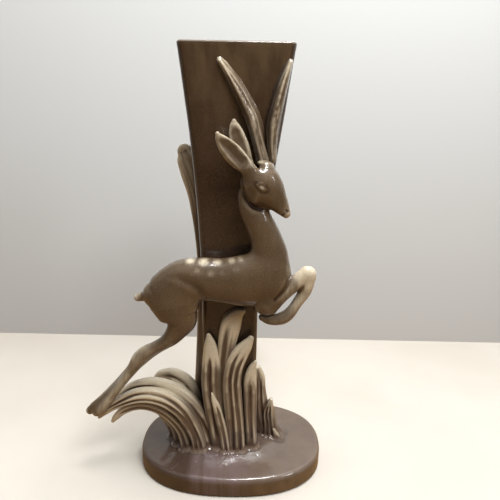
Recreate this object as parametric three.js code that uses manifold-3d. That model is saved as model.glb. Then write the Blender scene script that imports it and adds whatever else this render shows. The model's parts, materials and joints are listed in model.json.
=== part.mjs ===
// A glazed ceramic television lamp: a leaping gazelle in front of a flared column on an oval base,
// with grass blades round the column's foot and an up-light socket inside the open column.
// Millimetres, +Z up, origin on the table under the middle of the base, the gazelle faces -Y.
import * as THREE from "three";
import { mergeVertices } from "three/addons/utils/BufferGeometryUtils.js";
import Module from "manifold-3d";

// ---------- driving dimensions ----------
const HEIGHT = 455; // table to the column's rim
const GAP = 0.3; // clearance between neighbouring pieces
const WALL = 5; // fired wall thickness

const FELT_THICKNESS = 1.5;
const BASE = { halfLength: 103.5, halfDepth: 72.5, top: 22, power: 2.4, edge: 5, deck: 6 };

// The column's outside at five heights: left and right sides, front and back faces, corner radius.
const COLUMN_LEVELS = [
  { z: BASE.top + GAP, left: -31, right: 28, front: -15, back: 31, corner: 6 },
  { z: 160, left: -32, right: 27, front: -15, back: 31, corner: 6 },
  { z: 255, left: -33.5, right: 30, front: -17, back: 32, corner: 6 },
  { z: 355, left: -41, right: 43, front: -20, back: 35, corner: 6 },
  { z: HEIGHT, left: -53, right: 57, front: -24, back: 39, corner: 6 },
];

const LAMP = { x: 0, y: 8 }; // the vertical axis of the pipe, socket and bulb
const PIPE = { outer: 4.9, inner: 3.6, bottom: 9.6, top: 276 }; // 1/8 IP lamp pipe
const PLATE = { z: 262, thickness: 1.6, play: 0.9 };
const NUT = { radius: 8.25, height: 4 }; // over the hexagon's corners
const WASHER = { radius: 14, thickness: 1.5 };
const SOCKET = { radius: 18.5, wall: 0.6, capBottom: 268, split: 288, top: 322 };
const BULB = { radius: 16, seat: 303, stemTop: 365, top: 442, neck: 12.4, glass: 0.8 }; // tubular T10
const E26 = { radius: 13, wall: 0.4 }; // the bulb's screw cap

const CORD = { width: 2.8, height: 5.2, sides: 6 }; // flat twin cord, standing on its edge
const EXIT = { x: -22, z: 9.5, radius: 5.5 }; // where the cord leaves the base's back wall
const HANK = { left: -38, pitch: 5.5, legs: 11, near: 100, far: 190 }; // surplus cord, folded
const TIE = { y: 145, width: 5, thickness: 0.8, slack: 1.1 };
const SWITCH = { x: 17, near: 204, length: 58, width: 25, height: 17 };
const WHEEL = { radius: 10.5, thickness: 5.4, offset: -5, axle: 1.8, clearance: 0.12 };
const PLUG = { x: -26, tip: 218, length: 27, width: 24, height: 16 };
const BLADE = { width: 6.3, thickness: 1.5, length: 17, spacing: 12.7 };

const ROUND = 20; // sides of a round piece

// ---------- materials ----------
const finish = (color, roughness, metalness = 0) =>
  new THREE.MeshStandardMaterial({ color, roughness, metalness });
const glaze = {
  column: finish(0x49392d, 0.16),
  base: finish(0x6a5a50, 0.16),
  animal: finish(0x6b5a46, 0.18),
  horn: finish(0x7b6753, 0.2),
  grass: finish(0x8a7663, 0.2),
};
const brass = finish(0xb08d4a, 0.35, 1);
const steel = finish(0x9b9b98, 0.4, 1);
const felt = finish(0x2f3a2b, 0.95);
const phenolic = finish(0x1d1714, 0.4);
const card = finish(0x9a8462, 0.9);
const brownPlastic = finish(0x3a2418, 0.4);
const rubber = finish(0x1c1a19, 0.8);
const frosted = finish(0xf2efe6, 0.5);
const tungsten = finish(0x5d5d60, 0.5, 1);
const paper = finish(0x2a2a2a, 0.7);

// ---------- solids ----------
const wasm = await Module();
wasm.setup();

// A closed geometry as a solid; the skin is turned round if it was wound inwards.
function solid(geometry) {
  const bare = geometry.clone();
  bare.deleteAttribute("normal");
  bare.deleteAttribute("uv");
  const merged = mergeVertices(bare, 1e-3);
  const vertProperties = new Float32Array(merged.attributes.position.array);
  const triVerts = new Uint32Array(merged.index.array);
  const made = new wasm.Manifold(new wasm.Mesh({ numProp: 3, vertProperties, triVerts }));
  if (made.volume() >= 0) return made;
  const turned = triVerts.slice().reverse();
  return new wasm.Manifold(new wasm.Mesh({ numProp: 3, vertProperties, triVerts: turned }));
}

function geometryOf(made) {
  const mesh = made.getMesh();
  const geometry = new THREE.BufferGeometry();
  geometry.setAttribute("position", new THREE.BufferAttribute(mesh.vertProperties.slice(), 3));
  geometry.setIndex(new THREE.BufferAttribute(mesh.triVerts.slice(), 1));
  geometry.computeVertexNormals();
  return geometry;
}

const cut = (body, ...tools) => tools.reduce((left, tool) => left.subtract(tool), body);
const join = (...bodies) => bodies.reduce((sum, body) => sum.add(body));
const largest = (body) => body.decompose().reduce((a, b) => (a.volume() > b.volume() ? a : b));

// A closed skin over rings of equal count, with a fan over the first and the last ring.
function skin(rings) {
  const count = rings[0].length;
  const points = rings.flat();
  const index = [];
  for (let ring = 0; ring + 1 < rings.length; ring++) {
    for (let i = 0; i < count; i++) {
      const a = ring * count + i;
      const b = ring * count + ((i + 1) % count);
      index.push(a, b, b + count, a, b + count, a + count);
    }
  }
  const last = (rings.length - 1) * count;
  for (let i = 1; i + 1 < count; i++) {
    index.push(0, i + 1, i);
    index.push(last, last + i, last + i + 1);
  }
  const geometry = new THREE.BufferGeometry().setFromPoints(points);
  return solid(geometry.setIndex(index));
}

// A modelled member of oval section. Each station is [x, z, half width, half thickness];
// the half width is measured across the member in side view and the half thickness along Y.
function limb({ stations, y, grow = 0, sides = 8 }) {
  const depth = (t) => (Array.isArray(y) ? THREE.MathUtils.lerp(y[0], y[1], t) : y);
  const last = stations.length - 1;
  const centres = stations.map(([x, z], i) => new THREE.Vector3(x, depth(i / last), z));
  const sizes = stations.map(([, , width, thickness]) => new THREE.Vector3(width, thickness, 0));
  const path = new THREE.CatmullRomCurve3(centres);
  const section = new THREE.CatmullRomCurve3(sizes);
  const rings = [];
  const addRing = (t, slide, shrink) => {
    const along = path.getTangent(t);
    const across = new THREE.Vector3(0, 1, 0).cross(along).normalize();
    const through = new THREE.Vector3().crossVectors(along, across);
    const size = section.getPoint(t);
    const centre = path.getPoint(t).addScaledVector(along, slide);
    rings.push(
      Array.from({ length: sides }, (_, i) => {
        const angle = (i / sides) * 2 * Math.PI;
        const point = centre.clone();
        point.addScaledVector(across, (size.x + grow) * shrink * Math.cos(angle));
        return point.addScaledVector(through, (size.y + grow) * shrink * Math.sin(angle));
      }),
    );
  };
  const capAngles = [70, 35].map(THREE.MathUtils.degToRad);
  const capLength = (t) => Math.min(section.getPoint(t).x, section.getPoint(t).y) * 0.8 + grow;
  for (const angle of capAngles) addRing(0, -capLength(0) * Math.sin(angle), Math.cos(angle));
  const steps = stations.length > 6 ? last : last * 2;
  for (let i = 0; i <= steps; i++) addRing(i / steps, 0, 1);
  for (const angle of capAngles.toReversed())
    addRing(1, capLength(1) * Math.sin(angle), Math.cos(angle));
  return skin(rings);
}

function boxed(x0, x1, y0, y1, z0, z1) {
  const box = new THREE.BoxGeometry(x1 - x0, y1 - y0, z1 - z0);
  return solid(box.translate((x0 + x1) / 2, (y0 + y1) / 2, (z0 + z1) / 2));
}

// A solid of revolution about a vertical axis; the profile is [radius, z] pairs from axis to axis.
function turned(profile, { x = LAMP.x, y = LAMP.y, sides = ROUND } = {}) {
  const points = profile.map(([radius, z]) => new THREE.Vector2(radius, z));
  const lathe = new THREE.LatheGeometry(points, sides);
  return solid(lathe.rotateX(Math.PI / 2).translate(x, y, 0));
}

const rod = (radius, z0, z1, options) =>
  turned([[0, z0], [radius, z0], [radius, z1], [0, z1]], options);

// A round bar along +Y from y0 to y1.
function crossRod(radius, x, z, y0, y1, sides = ROUND) {
  const bar = new THREE.CylinderGeometry(radius, radius, y1 - y0, sides);
  return solid(bar.translate(x, (y0 + y1) / 2, z));
}

// ---------- base and column ----------
function ovalRing(halfX, halfY, z, count = 48) {
  const bulge = 2 / BASE.power;
  const fuller = (value) => Math.sign(value) * Math.abs(value) ** bulge;
  return Array.from({ length: count }, (_, i) => {
    const angle = (i / count) * 2 * Math.PI;
    return new THREE.Vector3(halfX * fuller(Math.cos(angle)), halfY * fuller(Math.sin(angle)), z);
  });
}

// The oval of the base, inset from its widest line, over a list of [inset, z] levels.
const ovalStack = (levels) =>
  skin(levels.map(([inset, z]) => ovalRing(BASE.halfLength - inset, BASE.halfDepth - inset, z)));

function baseOutside(grow = 0) {
  const edge = BASE.edge;
  const levels = [
    [2.5 - grow, FELT_THICKNESS],
    [-grow, FELT_THICKNESS + 4],
    [-grow, BASE.top - edge],
  ];
  for (const degrees of [30, 60, 90]) {
    const angle = THREE.MathUtils.degToRad(degrees);
    const rise = (edge + grow) * Math.sin(angle);
    levels.push([edge - (edge + grow) * Math.cos(angle), BASE.top - edge + rise]);
  }
  return ovalStack(levels);
}

function basePlinth() {
  const hollow = ovalStack([[WALL + 3, FELT_THICKNESS - 1], [WALL + 3, BASE.top - BASE.deck]]);
  const pipeHole = rod(PIPE.outer + GAP, BASE.top - BASE.deck - 1, BASE.top + 1);
  const cordHole = crossRod(EXIT.radius, EXIT.x, EXIT.z, BASE.halfDepth - 20, BASE.halfDepth + 5);
  return cut(baseOutside(), hollow, pipeHole, cordHole);
}

// The column's section at a share of the way through its listed levels.
function columnLevel(share) {
  const at = (key) => {
    const values = COLUMN_LEVELS.map((level, i) => new THREE.Vector2(i, level[key]));
    return new THREE.SplineCurve(values).getPoint(share).y;
  };
  return Object.fromEntries(Object.keys(COLUMN_LEVELS[0]).map((key) => [key, at(key)]));
}

// The column's section at a height, found by halving the range of shares.
function columnAt(z) {
  let low = 0;
  let high = 1;
  for (let i = 0; i < 30; i++) {
    const middle = (low + high) / 2;
    if (columnLevel(middle).z < z) low = middle;
    else high = middle;
  }
  return columnLevel(low);
}

// A rounded rectangle at the level's height, moved outwards by grow.
function columnRing(level, grow) {
  const radius = level.corner + Math.max(grow, -level.corner / 2);
  const shape = [
    [level.right + grow, level.back + grow, -1, -1, 0],
    [level.left - grow, level.back + grow, 1, -1, 90],
    [level.left - grow, level.front - grow, 1, 1, 180],
    [level.right + grow, level.front - grow, -1, 1, 270],
  ];
  return shape.flatMap(([x, y, inX, inY, start]) =>
    [0, 30, 60, 90].map((turn) => {
      const angle = THREE.MathUtils.degToRad(start + turn);
      return new THREE.Vector3(
        x + inX * radius + radius * Math.cos(angle),
        y + inY * radius + radius * Math.sin(angle),
        level.z,
      );
    }),
  );
}

function columnBody(grow) {
  const steps = 10;
  const levels = Array.from({ length: steps + 1 }, (_, i) => columnLevel(i / steps));
  const rings = levels.map((level) => columnRing(level, grow));
  const reach = Math.abs(grow) + 1;
  const past = (level, z) => columnRing({ ...level, z }, grow);
  if (grow !== 0) rings.unshift(past(levels[0], levels[0].z - reach));
  if (grow !== 0) rings.push(past(levels[steps], HEIGHT + reach));
  return skin(rings);
}

// ---------- sculpted members ----------
// Each member is one or more limbs. A limb has its depth y, or the depths of its two ends, and its
// stations from root to tip: [x, z, half width, half thickness].
const SIDE = -32; // middle plane of the gazelle

const animal = {
  gazelle_torso: [
    {
      y: SIDE,
      sides: 14,
      stations: [
        [-78, 213, 14, 11], [-67, 218, 21, 15], [-48, 227, 25, 18], [-28, 230.5, 22.5, 17],
        [-8, 229, 24.5, 17], [16, 230, 29, 18], [34, 230, 31, 18], [45, 236, 25, 15],
      ],
    },
    {
      y: SIDE,
      sides: 14,
      stations: [
        [38, 240, 20, 15], [36, 262, 17, 13.5], [29, 281, 14.5, 12], [19.5, 303, 12.8, 10.4], [16.5, 318, 11.2, 9],
      ],
    },
  ],
  gazelle_head: [
    {
      y: SIDE - 2,
      sides: 12,
      stations: [
        [16, 331, 12, 10], [24, 329, 17, 12], [32, 324, 17, 12],
        [39, 317, 13.5, 11], [46, 309, 8.5, 8.5], [51, 301.5, 5, 6],
      ],
    },
  ],
  near_ear: [
    {
      y: [-41, -46],
      stations: [
        [11, 341, 7, 4.5], [5, 350, 9.5, 4], [-3, 360, 8.5, 3.5], [-10, 369, 5.6, 2.6], [-14, 374, 2, 1.4],
      ],
    },
  ],
  far_ear: [
    {
      y: [-29, -27],
      stations: [[14, 349, 6, 4], [8, 366, 7.5, 3.6], [3, 379, 5.5, 2.8], [1, 385, 2, 1.6]],
    },
  ],
  near_foreleg: foreleg(SIDE - 7, 0),
  far_foreleg: foreleg(SIDE + 6, 4),
  near_hind_leg: [hindLeg(SIDE - 7, 0, 0)],
  far_hind_leg: [hindLeg(SIDE + 6, 8, 3)],
  gazelle_tail: [{ y: SIDE, stations: [[-84, 211.5, 5.2, 4.6], [-91, 210.5, 4.9, 4.4], [-96, 209, 3.8, 3.6]] }],
};

const horns = {
  left_horn: [
    {
      y: [-24, -26],
      stations: [
        [27, 352, 8.2, 7], [19.3, 384, 7.4, 6.5], [12, 403, 6.4, 6], [2.5, 418, 4.8, 5], [-10.5, 437, 2, 2.6],
      ],
    },
  ],
  right_horn: [
    {
      y: [-25, -26],
      stations: [
        [38, 352, 5.4, 6], [38, 372, 6.8, 6.5], [40.2, 396, 6.4, 6], [45.8, 418, 4.8, 5], [51, 436, 1.8, 2.4],
      ],
    },
  ],
};

// One grass blade, growing out of the base from a root below the base's top.
const blade = (y, ...stations) => [{ y, stations }];
const ROOT = BASE.top - 4;

const grass = {
  tall_back_blade: blade(
    [17, 22],
    [-35, ROOT, 13, 7], [-31, 90, 13, 6], [-28, 160, 13, 5], [-28, 240, 12.5, 5],
    [-34, 300, 13.4, 5], [-43.5, 334, 13.4, 4.5], [-51.5, 353, 6.5, 3.5],
  ),
  front_blade_tall: blade(
    [-20, -18],
    [-5, ROOT, 8, 7], [-7, 80, 8, 6], [-8, 125, 7, 5.5],
    [-5, 152, 9.5, 5.5], [-1, 174, 10.5, 5.5], [7, 189, 6, 4],
  ),
  front_blade_left: blade(
    [-24, -20],
    [-11, ROOT, 9, 7], [-15, 52, 10, 6.5], [-20, 88, 10.5, 6],
    [-22, 125, 10, 6], [-23.5, 148, 7.5, 5], [-23, 163, 3, 3],
  ),
  front_blade_centre: blade(
    [-27, -24],
    [8, ROOT, 10, 7], [5, 61, 10, 7], [2, 98, 10, 6.5],
    [3, 128, 9, 6], [12, 149, 8, 5], [22, 164, 2.5, 3],
  ),
  front_blade_right: blade(
    [-20, -20],
    [24, ROOT, 7, 7], [22.5, 60, 6.5, 6], [21.5, 95, 7.5, 6], [23, 118, 5, 4.5], [26.5, 132, 2, 3],
  ),
  front_blade_short: blade(
    [-34, -31],
    [-6, ROOT, 6, 6], [-9, 52, 5.6, 5.6], [-14.5, 79, 4.8, 4.6], [-20, 97, 1.8, 2.5],
  ),
  right_side_blade: [
    ...blade(
      [8, 3],
      [40, ROOT, 13, 9], [37, 46, 11, 8.4], [34.5, 64, 8.6, 7.4],
      [32.8, 84, 6.4, 6.2], [31.5, 100, 5.6, 5], [30, 111, 3, 3.2],
    ),
    ...blade([3, 0], [49, ROOT, 9.5, 8], [45, 44, 6.4, 6.8], [43.6, 60, 4.2, 5], [45, 71, 1.8, 2.6]),
  ],
  arched_blade_main: blade(
    [-24, -30],
    [-31, ROOT, 8, 7], [-38, 50, 8.5, 7], [-52, 74, 9.5, 7], [-73, 91, 10, 7],
    [-97, 94.5, 8.5, 6.5], [-119, 87, 6.5, 5], [-143, 68, 2.5, 3],
  ),
  arched_blade_middle: blade(
    [-12, -14],
    [-22, ROOT, 8, 7], [-28, 45, 8, 7], [-42, 74, 9, 7], [-62, 92, 9.5, 7],
    [-84, 99, 9, 6.5], [-106, 96, 7.5, 5], [-128, 82, 2.5, 3],
  ),
  arched_blade_back: blade(
    [4, 7],
    [-40, ROOT, 8, 7], [-42, 60, 8, 7], [-50, 88, 8, 6], [-67, 99, 7, 5], [-87, 97, 2.5, 3],
  ),
  arched_blade_under: blade(
    [-22, -26],
    [-48, ROOT, 6, 6], [-56, 47, 5, 5], [-70, 68, 4.5, 5],
    [-95, 78, 4, 4], [-119, 71, 4, 4], [-131, 59, 2.5, 2.5],
  ),
  low_blade_pale: blade(
    [-10, -12],
    [-59, ROOT, 5, 5], [-65, 47, 4.5, 4.5], [-80, 65, 3.5, 3.5], [-95, 73, 2, 2.5],
  ),
  low_blade_thin: blade([-1, -2], [-68, ROOT, 5, 5], [-71, 36, 3.5, 4], [-83, 53, 2, 2.5]),
};

// The upper leg reaches forward from the chest and the lower leg folds back under it.
function foreleg(y, drop) {
  const lowered = (stations) => stations.map(([x, z, ...section]) => [x, z - drop, ...section]);
  const upper = [[38, 210, 13, 6.4], [54, 224, 10.4, 6.2], [64.5, 231, 8.8, 6], [75, 239.5, 8.8, 6]];
  const lower = [
    [76, 236, 7.8, 5.8], [73.5, 222, 6.6, 5.6], [66, 208, 5.4, 5],
    [54, 193, 6.6, 5.2], [41, 190.4, 5.8, 5], [32, 192.6, 3.4, 4],
  ];
  return [{ y, stations: lowered(upper) }, { y, stations: lowered(lower) }];
}

// The two hind legs run together from the rump and part at the hooves, which rest on the grass.
function hindLeg(y, spread, drop) {
  const together = [
    [-57, 206, 22, 12], [-54, 194, 18, 10.5], [-52, 184, 13, 9.5], [-59, 172, 9.4, 8],
    [-70, 161, 6.8, 6.8], [-80, 155, 6.8, 6.2], [-91, 147, 8, 6], [-104, 130, 5.8, 5.4],
    [-121, 104, 5.2, 5.2], [-134, 89, 6, 5.4], [-143, 80, 6.2, 5.6],
  ];
  const hock = 6;
  const stations = together.map(([x, z, width, thickness], i) => {
    const shift = spread * THREE.MathUtils.smoothstep(i, hock - 1, together.length - 1);
    return [x - shift, z + shift / 2 - drop, width, thickness];
  });
  return { y, stations };
}

const memberBody = (limbs, grow) => join(...limbs.map((piece) => limb({ ...piece, grow })));

// ---------- lamp hardware inside the column ----------
const hexagon = { sides: 6 };
const tube = (outer, inner, z0, z1, options) =>
  cut(rod(outer, z0, z1, options), rod(inner, z0 - 1, z1 + 1));

// A washer or nut that the pipe passes through.
const ringOnPipe = (radius, z0, z1, options) => tube(radius, PIPE.outer + GAP, z0, z1, options);

// A thin plate that wedges in the column's taper and holds the pipe on the lamp's axis.
function centringPlate() {
  const level = columnAt(PLATE.z);
  const edge = (z) => columnRing({ ...level, z }, -WALL - PLATE.play);
  const sheet = skin([edge(PLATE.z), edge(PLATE.z + PLATE.thickness)]);
  return cut(sheet, rod(PIPE.outer + GAP, PLATE.z - 1, PLATE.z + PLATE.thickness + 1));
}

function socketCap() {
  const { radius, wall, capBottom, split } = SOCKET;
  const outside = [
    [0, capBottom], [7, capBottom], [7, capBottom + 9], [radius - 3, capBottom + 11],
    [radius, capBottom + 15], [radius, split], [0, split],
  ];
  const inside = [
    [0, PIPE.top + GAP + 1.5], [radius - 4, PIPE.top + 3.6], [radius - wall, capBottom + 16],
    [radius - wall, split + 1], [0, split + 1],
  ];
  const bore = rod(PIPE.outer + GAP, capBottom - 1, PIPE.top + GAP);
  const cordWay = rod(3.6, PIPE.top, PIPE.top + 6);
  return cut(turned(outside), turned(inside), bore, cordWay, setScrew(GAP));
}

function setScrew(grow) {
  const z = SOCKET.capBottom + 4.5;
  const near = LAMP.y + PIPE.outer + GAP + 0.2;
  return crossRod(1.6 + grow, LAMP.x, z, near, LAMP.y + 10 + grow, 10);
}

function socketShell() {
  const { radius, wall, split, top } = SOCKET;
  const bottom = split + GAP;
  const outside = [[0, bottom], [radius, bottom], [radius, top - 1], [radius + 1, top], [0, top]];
  return cut(turned(outside), rod(radius - wall, split - 1, top + 1));
}

function socketLiner() {
  const { radius, wall, split, top } = SOCKET;
  return tube(radius - wall - GAP, radius - 2, split + 1, top - 1);
}

// The moulded core stands inside the liner, open towards the bulb.
function socketCore() {
  const z = SOCKET.split;
  const outside = rod(SOCKET.radius - 2.4, z, SOCKET.top - 4, { sides: ROUND });
  const well = rod(E26.radius + E26.wall + 0.7, z + 9, SOCKET.top);
  const contactWay = rod(3.3, z + 5, z + 10);
  const seats = [-1, 1].map((side) => rod(2.5, z - 1, z + 5, { x: LAMP.x + side * 9, sides: 10 }));
  return cut(outside, well, contactWay, ...seats);
}

function screwShell() {
  const outer = E26.radius + E26.wall + 0.4;
  const z = SOCKET.split + 9 + GAP;
  const thread = rod(outer - E26.wall, z + 0.6, SOCKET.top);
  return cut(rod(outer, z, SOCKET.top - 6), thread, rod(4.5, z - 1, z + 2));
}

const centreContact = () => rod(3, SOCKET.split + 5 + GAP, SOCKET.split + 13, { sides: 12 });

function terminalScrew(side) {
  const x = LAMP.x + side * 9;
  const head = rod(3.4, SOCKET.split - 1.6, SOCKET.split - GAP, { x, sides: 12 });
  const shank = rod(1.9, SOCKET.split - 1, SOCKET.split + 4.4, { x, sides: 12 });
  return join(head, shank);
}

// ---------- bulb ----------
function bulbCap() {
  const { radius, wall } = E26;
  const z = BULB.seat;
  const top = z + 26;
  const outside = [
    [0, z], [radius - 4, z], [radius, z + 3], [radius, top - 4],
    [radius + 0.6, top - 3], [radius + 0.6, top], [0, top],
  ];
  const bore = radius - wall;
  const inside = [[0, z + 1.6], [radius - 4.4, z + 1.6], [bore, z + 4], [bore, top + 1], [0, top + 1]];
  return cut(turned(outside), turned(inside), rod(4.2, z - 1, z + 3));
}

// The envelope is open at its neck, where the glass meets the stem.
function bulbGlass() {
  const { radius, neck, glass, top, seat } = BULB;
  const foot = seat + 14;
  const envelope = (inset) => {
    const dome = radius - inset;
    const low = foot - inset * 2;
    const profile = [[0, low], [neck - inset, low], [neck - inset, seat + 30], [dome, seat + 46]];
    for (const degrees of [0, 30, 60, 90]) {
      const angle = THREE.MathUtils.degToRad(degrees);
      profile.push([dome * Math.cos(angle), top - radius + dome * Math.sin(angle)]);
    }
    return turned(profile);
  };
  return cut(envelope(0), envelope(glass));
}

function bulbFootContact() {
  const z = BULB.seat;
  return turned([[0, z - 1.2], [3, z - 1.2], [3.8, z], [3.8, z + 3], [0, z + 3]], { sides: 16 });
}

function stemGlass() {
  const { seat, stemTop } = BULB;
  const low = seat + 15;
  const profile = [[0, low], [6, low], [5, low + 5], [2.2, low + 15], [2.2, stemTop], [0, stemTop]];
  return turned(profile, { sides: 12 });
}

// The filament hangs in a V between two lead wires above the stem.
function filament() {
  const z = BULB.stemTop + GAP;
  const points = [[-7, 16], [-3, 3], [0, 0], [3, 3], [7, 16]];
  const path = points.map(([x, rise]) => new THREE.Vector3(LAMP.x + x, LAMP.y, z + 0.9 + rise));
  return sweep(new THREE.CatmullRomCurve3(path), roundShape(0.8), 12);
}

// ---------- cord, switch and plug ----------
function roundShape(radius) {
  return new THREE.Shape().absarc(0, 0, radius, 0, 2 * Math.PI);
}

function sweep(path, shape, steps) {
  const settings = { steps, curveSegments: 4, bevelEnabled: false, extrudePath: path };
  return solid(new THREE.ExtrudeGeometry(shape, settings));
}

// A flat cord through a run of points, its tall side kept upright wherever it isn't vertical.
function cordAlong(points) {
  const rings = [];
  const vertical = new THREE.Vector3(0, 0, 1);
  let side = new THREE.Vector3(1, 0, 0);
  points.forEach((centre, i) => {
    const before = points[Math.max(i - 1, 0)];
    const after = points[Math.min(i + 1, points.length - 1)];
    const along = after.clone().sub(before).normalize();
    const level = new THREE.Vector3().crossVectors(along, vertical);
    if (level.length() > 0.3) side = level.normalize();
    const up = new THREE.Vector3().crossVectors(side, along);
    const ring = Array.from({ length: CORD.sides }, (_, k) => {
      const angle = ((k + 0.5) / CORD.sides) * 2 * Math.PI;
      const point = centre.clone().addScaledVector(side, (CORD.width / 2) * Math.cos(angle));
      return point.addScaledVector(up, (CORD.height / 2) * Math.sin(angle));
    });
    rings.push(ring);
  });
  return skin(rings);
}

// Points on a smooth curve through [x, y, z] places.
function smoothRun(places, perSpan) {
  const knots = places.map((place) => new THREE.Vector3(...place));
  const curve = new THREE.CatmullRomCurve3(knots, false, "centripetal");
  return curve.getPoints((places.length - 1) * perSpan);
}

const CORD_Z = CORD.height / 2 + 1.2; // a cord on its edge, resting on the tie
const hankX = (leg) => HANK.left + leg * HANK.pitch;

// The surplus cord is folded to and fro behind the base: straight legs joined by half turns.
function hankPoints() {
  const bend = HANK.pitch / 2;
  const points = [];
  for (let leg = 0; leg < HANK.legs; leg++) {
    const away = leg % 2 === 0;
    const start = away ? HANK.near : HANK.far;
    const end = away ? HANK.far : HANK.near;
    points.push(new THREE.Vector3(hankX(leg), start, CORD_Z));
    points.push(new THREE.Vector3(hankX(leg), end, CORD_Z));
    if (leg + 1 === HANK.legs) break;
    for (const degrees of [45, 90, 135]) {
      const angle = THREE.MathUtils.degToRad(degrees);
      const x = hankX(leg) + bend * (1 - Math.cos(angle));
      points.push(new THREE.Vector3(x, end + (away ? bend : -bend) * Math.sin(angle), CORD_Z));
    }
  }
  return points;
}

function lampCord() {
  const { x, y } = LAMP;
  const inPipe = new THREE.Vector3(x, y, SOCKET.split - 8);
  const toHank = [
    [x, y, 16], [x, y, 11], [x, y + 2, 7], [x, y + 7, 5.4], [x - 8, y + 24, 6.5],
    [EXIT.x, 56, EXIT.z], [EXIT.x, 67, EXIT.z], [EXIT.x, 78, EXIT.z - 1],
    [EXIT.x - 6, 85, CORD_Z + 2], [HANK.left + 1, 91, CORD_Z + 0.4], [HANK.left, HANK.near - 4, CORD_Z],
  ];
  const middle = SWITCH.height / 2;
  const toSwitch = [
    [SWITCH.x, HANK.far + 3, CORD_Z + 1], [SWITCH.x, SWITCH.near - 5, middle - 0.4],
    [SWITCH.x, SWITCH.near + 8, middle],
  ];
  return cordAlong([inPipe, ...smoothRun(toHank, 3), ...hankPoints(), ...smoothRun(toSwitch, 2)]);
}

function plugCord() {
  const z = SWITCH.height / 2;
  const far = SWITCH.near + SWITCH.length;
  const points = [
    [SWITCH.x, far - 8, z], [SWITCH.x, far + 6, z], [SWITCH.x - 14, far + 20, CORD_Z + 1],
    [PLUG.x + 12, far + 12, CORD_Z + 1], [PLUG.x, far - 2, PLUG.height / 2],
    [PLUG.x, PLUG.tip + PLUG.length - 6, PLUG.height / 2],
  ];
  return cordAlong(smoothRun(points, 4));
}

function cordBushing() {
  const { x, z, radius } = EXIT;
  const wallFace = BASE.halfDepth + GAP;
  const flange = crossRod(radius + 1.6, x, z, wallFace, wallFace + 1.8);
  const sleeve = crossRod(radius - GAP, x, z, BASE.halfDepth - WALL - 3, wallFace + 1);
  return cut(join(flange, sleeve), crossRod(3.4, x, z, 50, 90));
}

function hankTie() {
  const half = CORD.width / 2 + TIE.slack;
  const left = HANK.left - half;
  const right = hankX(HANK.legs - 1) + half;
  const { y, width, thickness } = TIE;
  const low = CORD_Z - CORD.height / 2 - GAP;
  const high = CORD_Z + CORD.height / 2 + GAP;
  const y0 = y - width / 2;
  const y1 = y + width / 2;
  const t = thickness;
  return cut(
    boxed(left - t, right + t, y0, y1, low - t, high + t),
    boxed(left, right, y0 - 1, y1 + 1, low, high),
  );
}

// A plan outline with rounded ends, extruded upwards from z0 to z1.
function slab(x, y0, y1, width, z0, z1, corner) {
  const half = width / 2;
  const shape = new THREE.Shape();
  shape.absarc(half - corner, corner, corner, -Math.PI / 2, 0);
  shape.absarc(half - corner, y1 - y0 - corner, corner, 0, Math.PI / 2);
  shape.absarc(corner - half, y1 - y0 - corner, corner, Math.PI / 2, Math.PI);
  shape.absarc(corner - half, corner, corner, Math.PI, 1.5 * Math.PI);
  shape.closePath();
  const settings = { depth: z1 - z0, curveSegments: 5, bevelEnabled: false };
  return solid(new THREE.ExtrudeGeometry(shape, settings).translate(x, y0, z0));
}

const wheelAxis = { x: SWITCH.x + WHEEL.offset, y: SWITCH.near + SWITCH.length / 2 };
const switchMiddle = SWITCH.height / 2;
const screwAt = { x: SWITCH.x + 6, y: SWITCH.near + 14 };

// What both halves of the switch are hollowed by: the wheel, the cord ends and the contacts.
function switchHollows() {
  const half = WHEEL.thickness / 2 + GAP;
  const wheelRoom = rod(WHEEL.radius + 0.7, switchMiddle - half, switchMiddle + half, wheelAxis);
  const channel = (y0, y1) =>
    boxed(SWITCH.x - 2, SWITCH.x + 2, y0, y1, switchMiddle - 3.2, switchMiddle + 3.2);
  const far = SWITCH.near + SWITCH.length;
  return [
    wheelRoom,
    channel(SWITCH.near - 1, SWITCH.near + 9),
    channel(far - 9, far + 1),
    switchContact(-1, GAP),
    switchContact(1, GAP),
    rod(1.4 + GAP, -1, SWITCH.height - 3, { ...screwAt, sides: 12 }),
  ];
}

// A brass spring that runs from the cord's core to the side of the wheel.
function switchContact(end, grow) {
  const middle = wheelAxis.y;
  const from = middle + end * 12.6;
  const to = middle + end * 19.4;
  const x = SWITCH.x - 1;
  return boxed(
    x - 0.4 - grow, x + 0.4 + grow,
    Math.min(from, to) - grow, Math.max(from, to) + grow,
    switchMiddle - 2.4 - grow, switchMiddle + 2.4 + grow,
  );
}

function switchHalf(z0, z1) {
  const { x, near, length, width } = SWITCH;
  const shell = slab(x, near, near + length, width, z0, z1, 10);
  const axleHole = rod(WHEEL.axle + WHEEL.clearance, 3, SWITCH.height - 3, { ...wheelAxis, sides: 16 });
  return cut(shell, ...switchHollows(), axleHole);
}

const switchBottom = () =>
  cut(switchHalf(GAP, switchMiddle - GAP / 2), rod(3, -1, 2.4, { ...screwAt, sides: 12 }));
const switchTop = () => switchHalf(switchMiddle + GAP / 2, SWITCH.height);

function switchScrew() {
  const head = rod(2.6, 0.6, 2.1, { ...screwAt, sides: 12 });
  return join(head, rod(1.4, 2, SWITCH.height - 4, { ...screwAt, sides: 12 }));
}

const switchAxle = () => rod(WHEEL.axle, 3.3, SWITCH.height - 3.3, { ...wheelAxis, sides: 16 });

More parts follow.
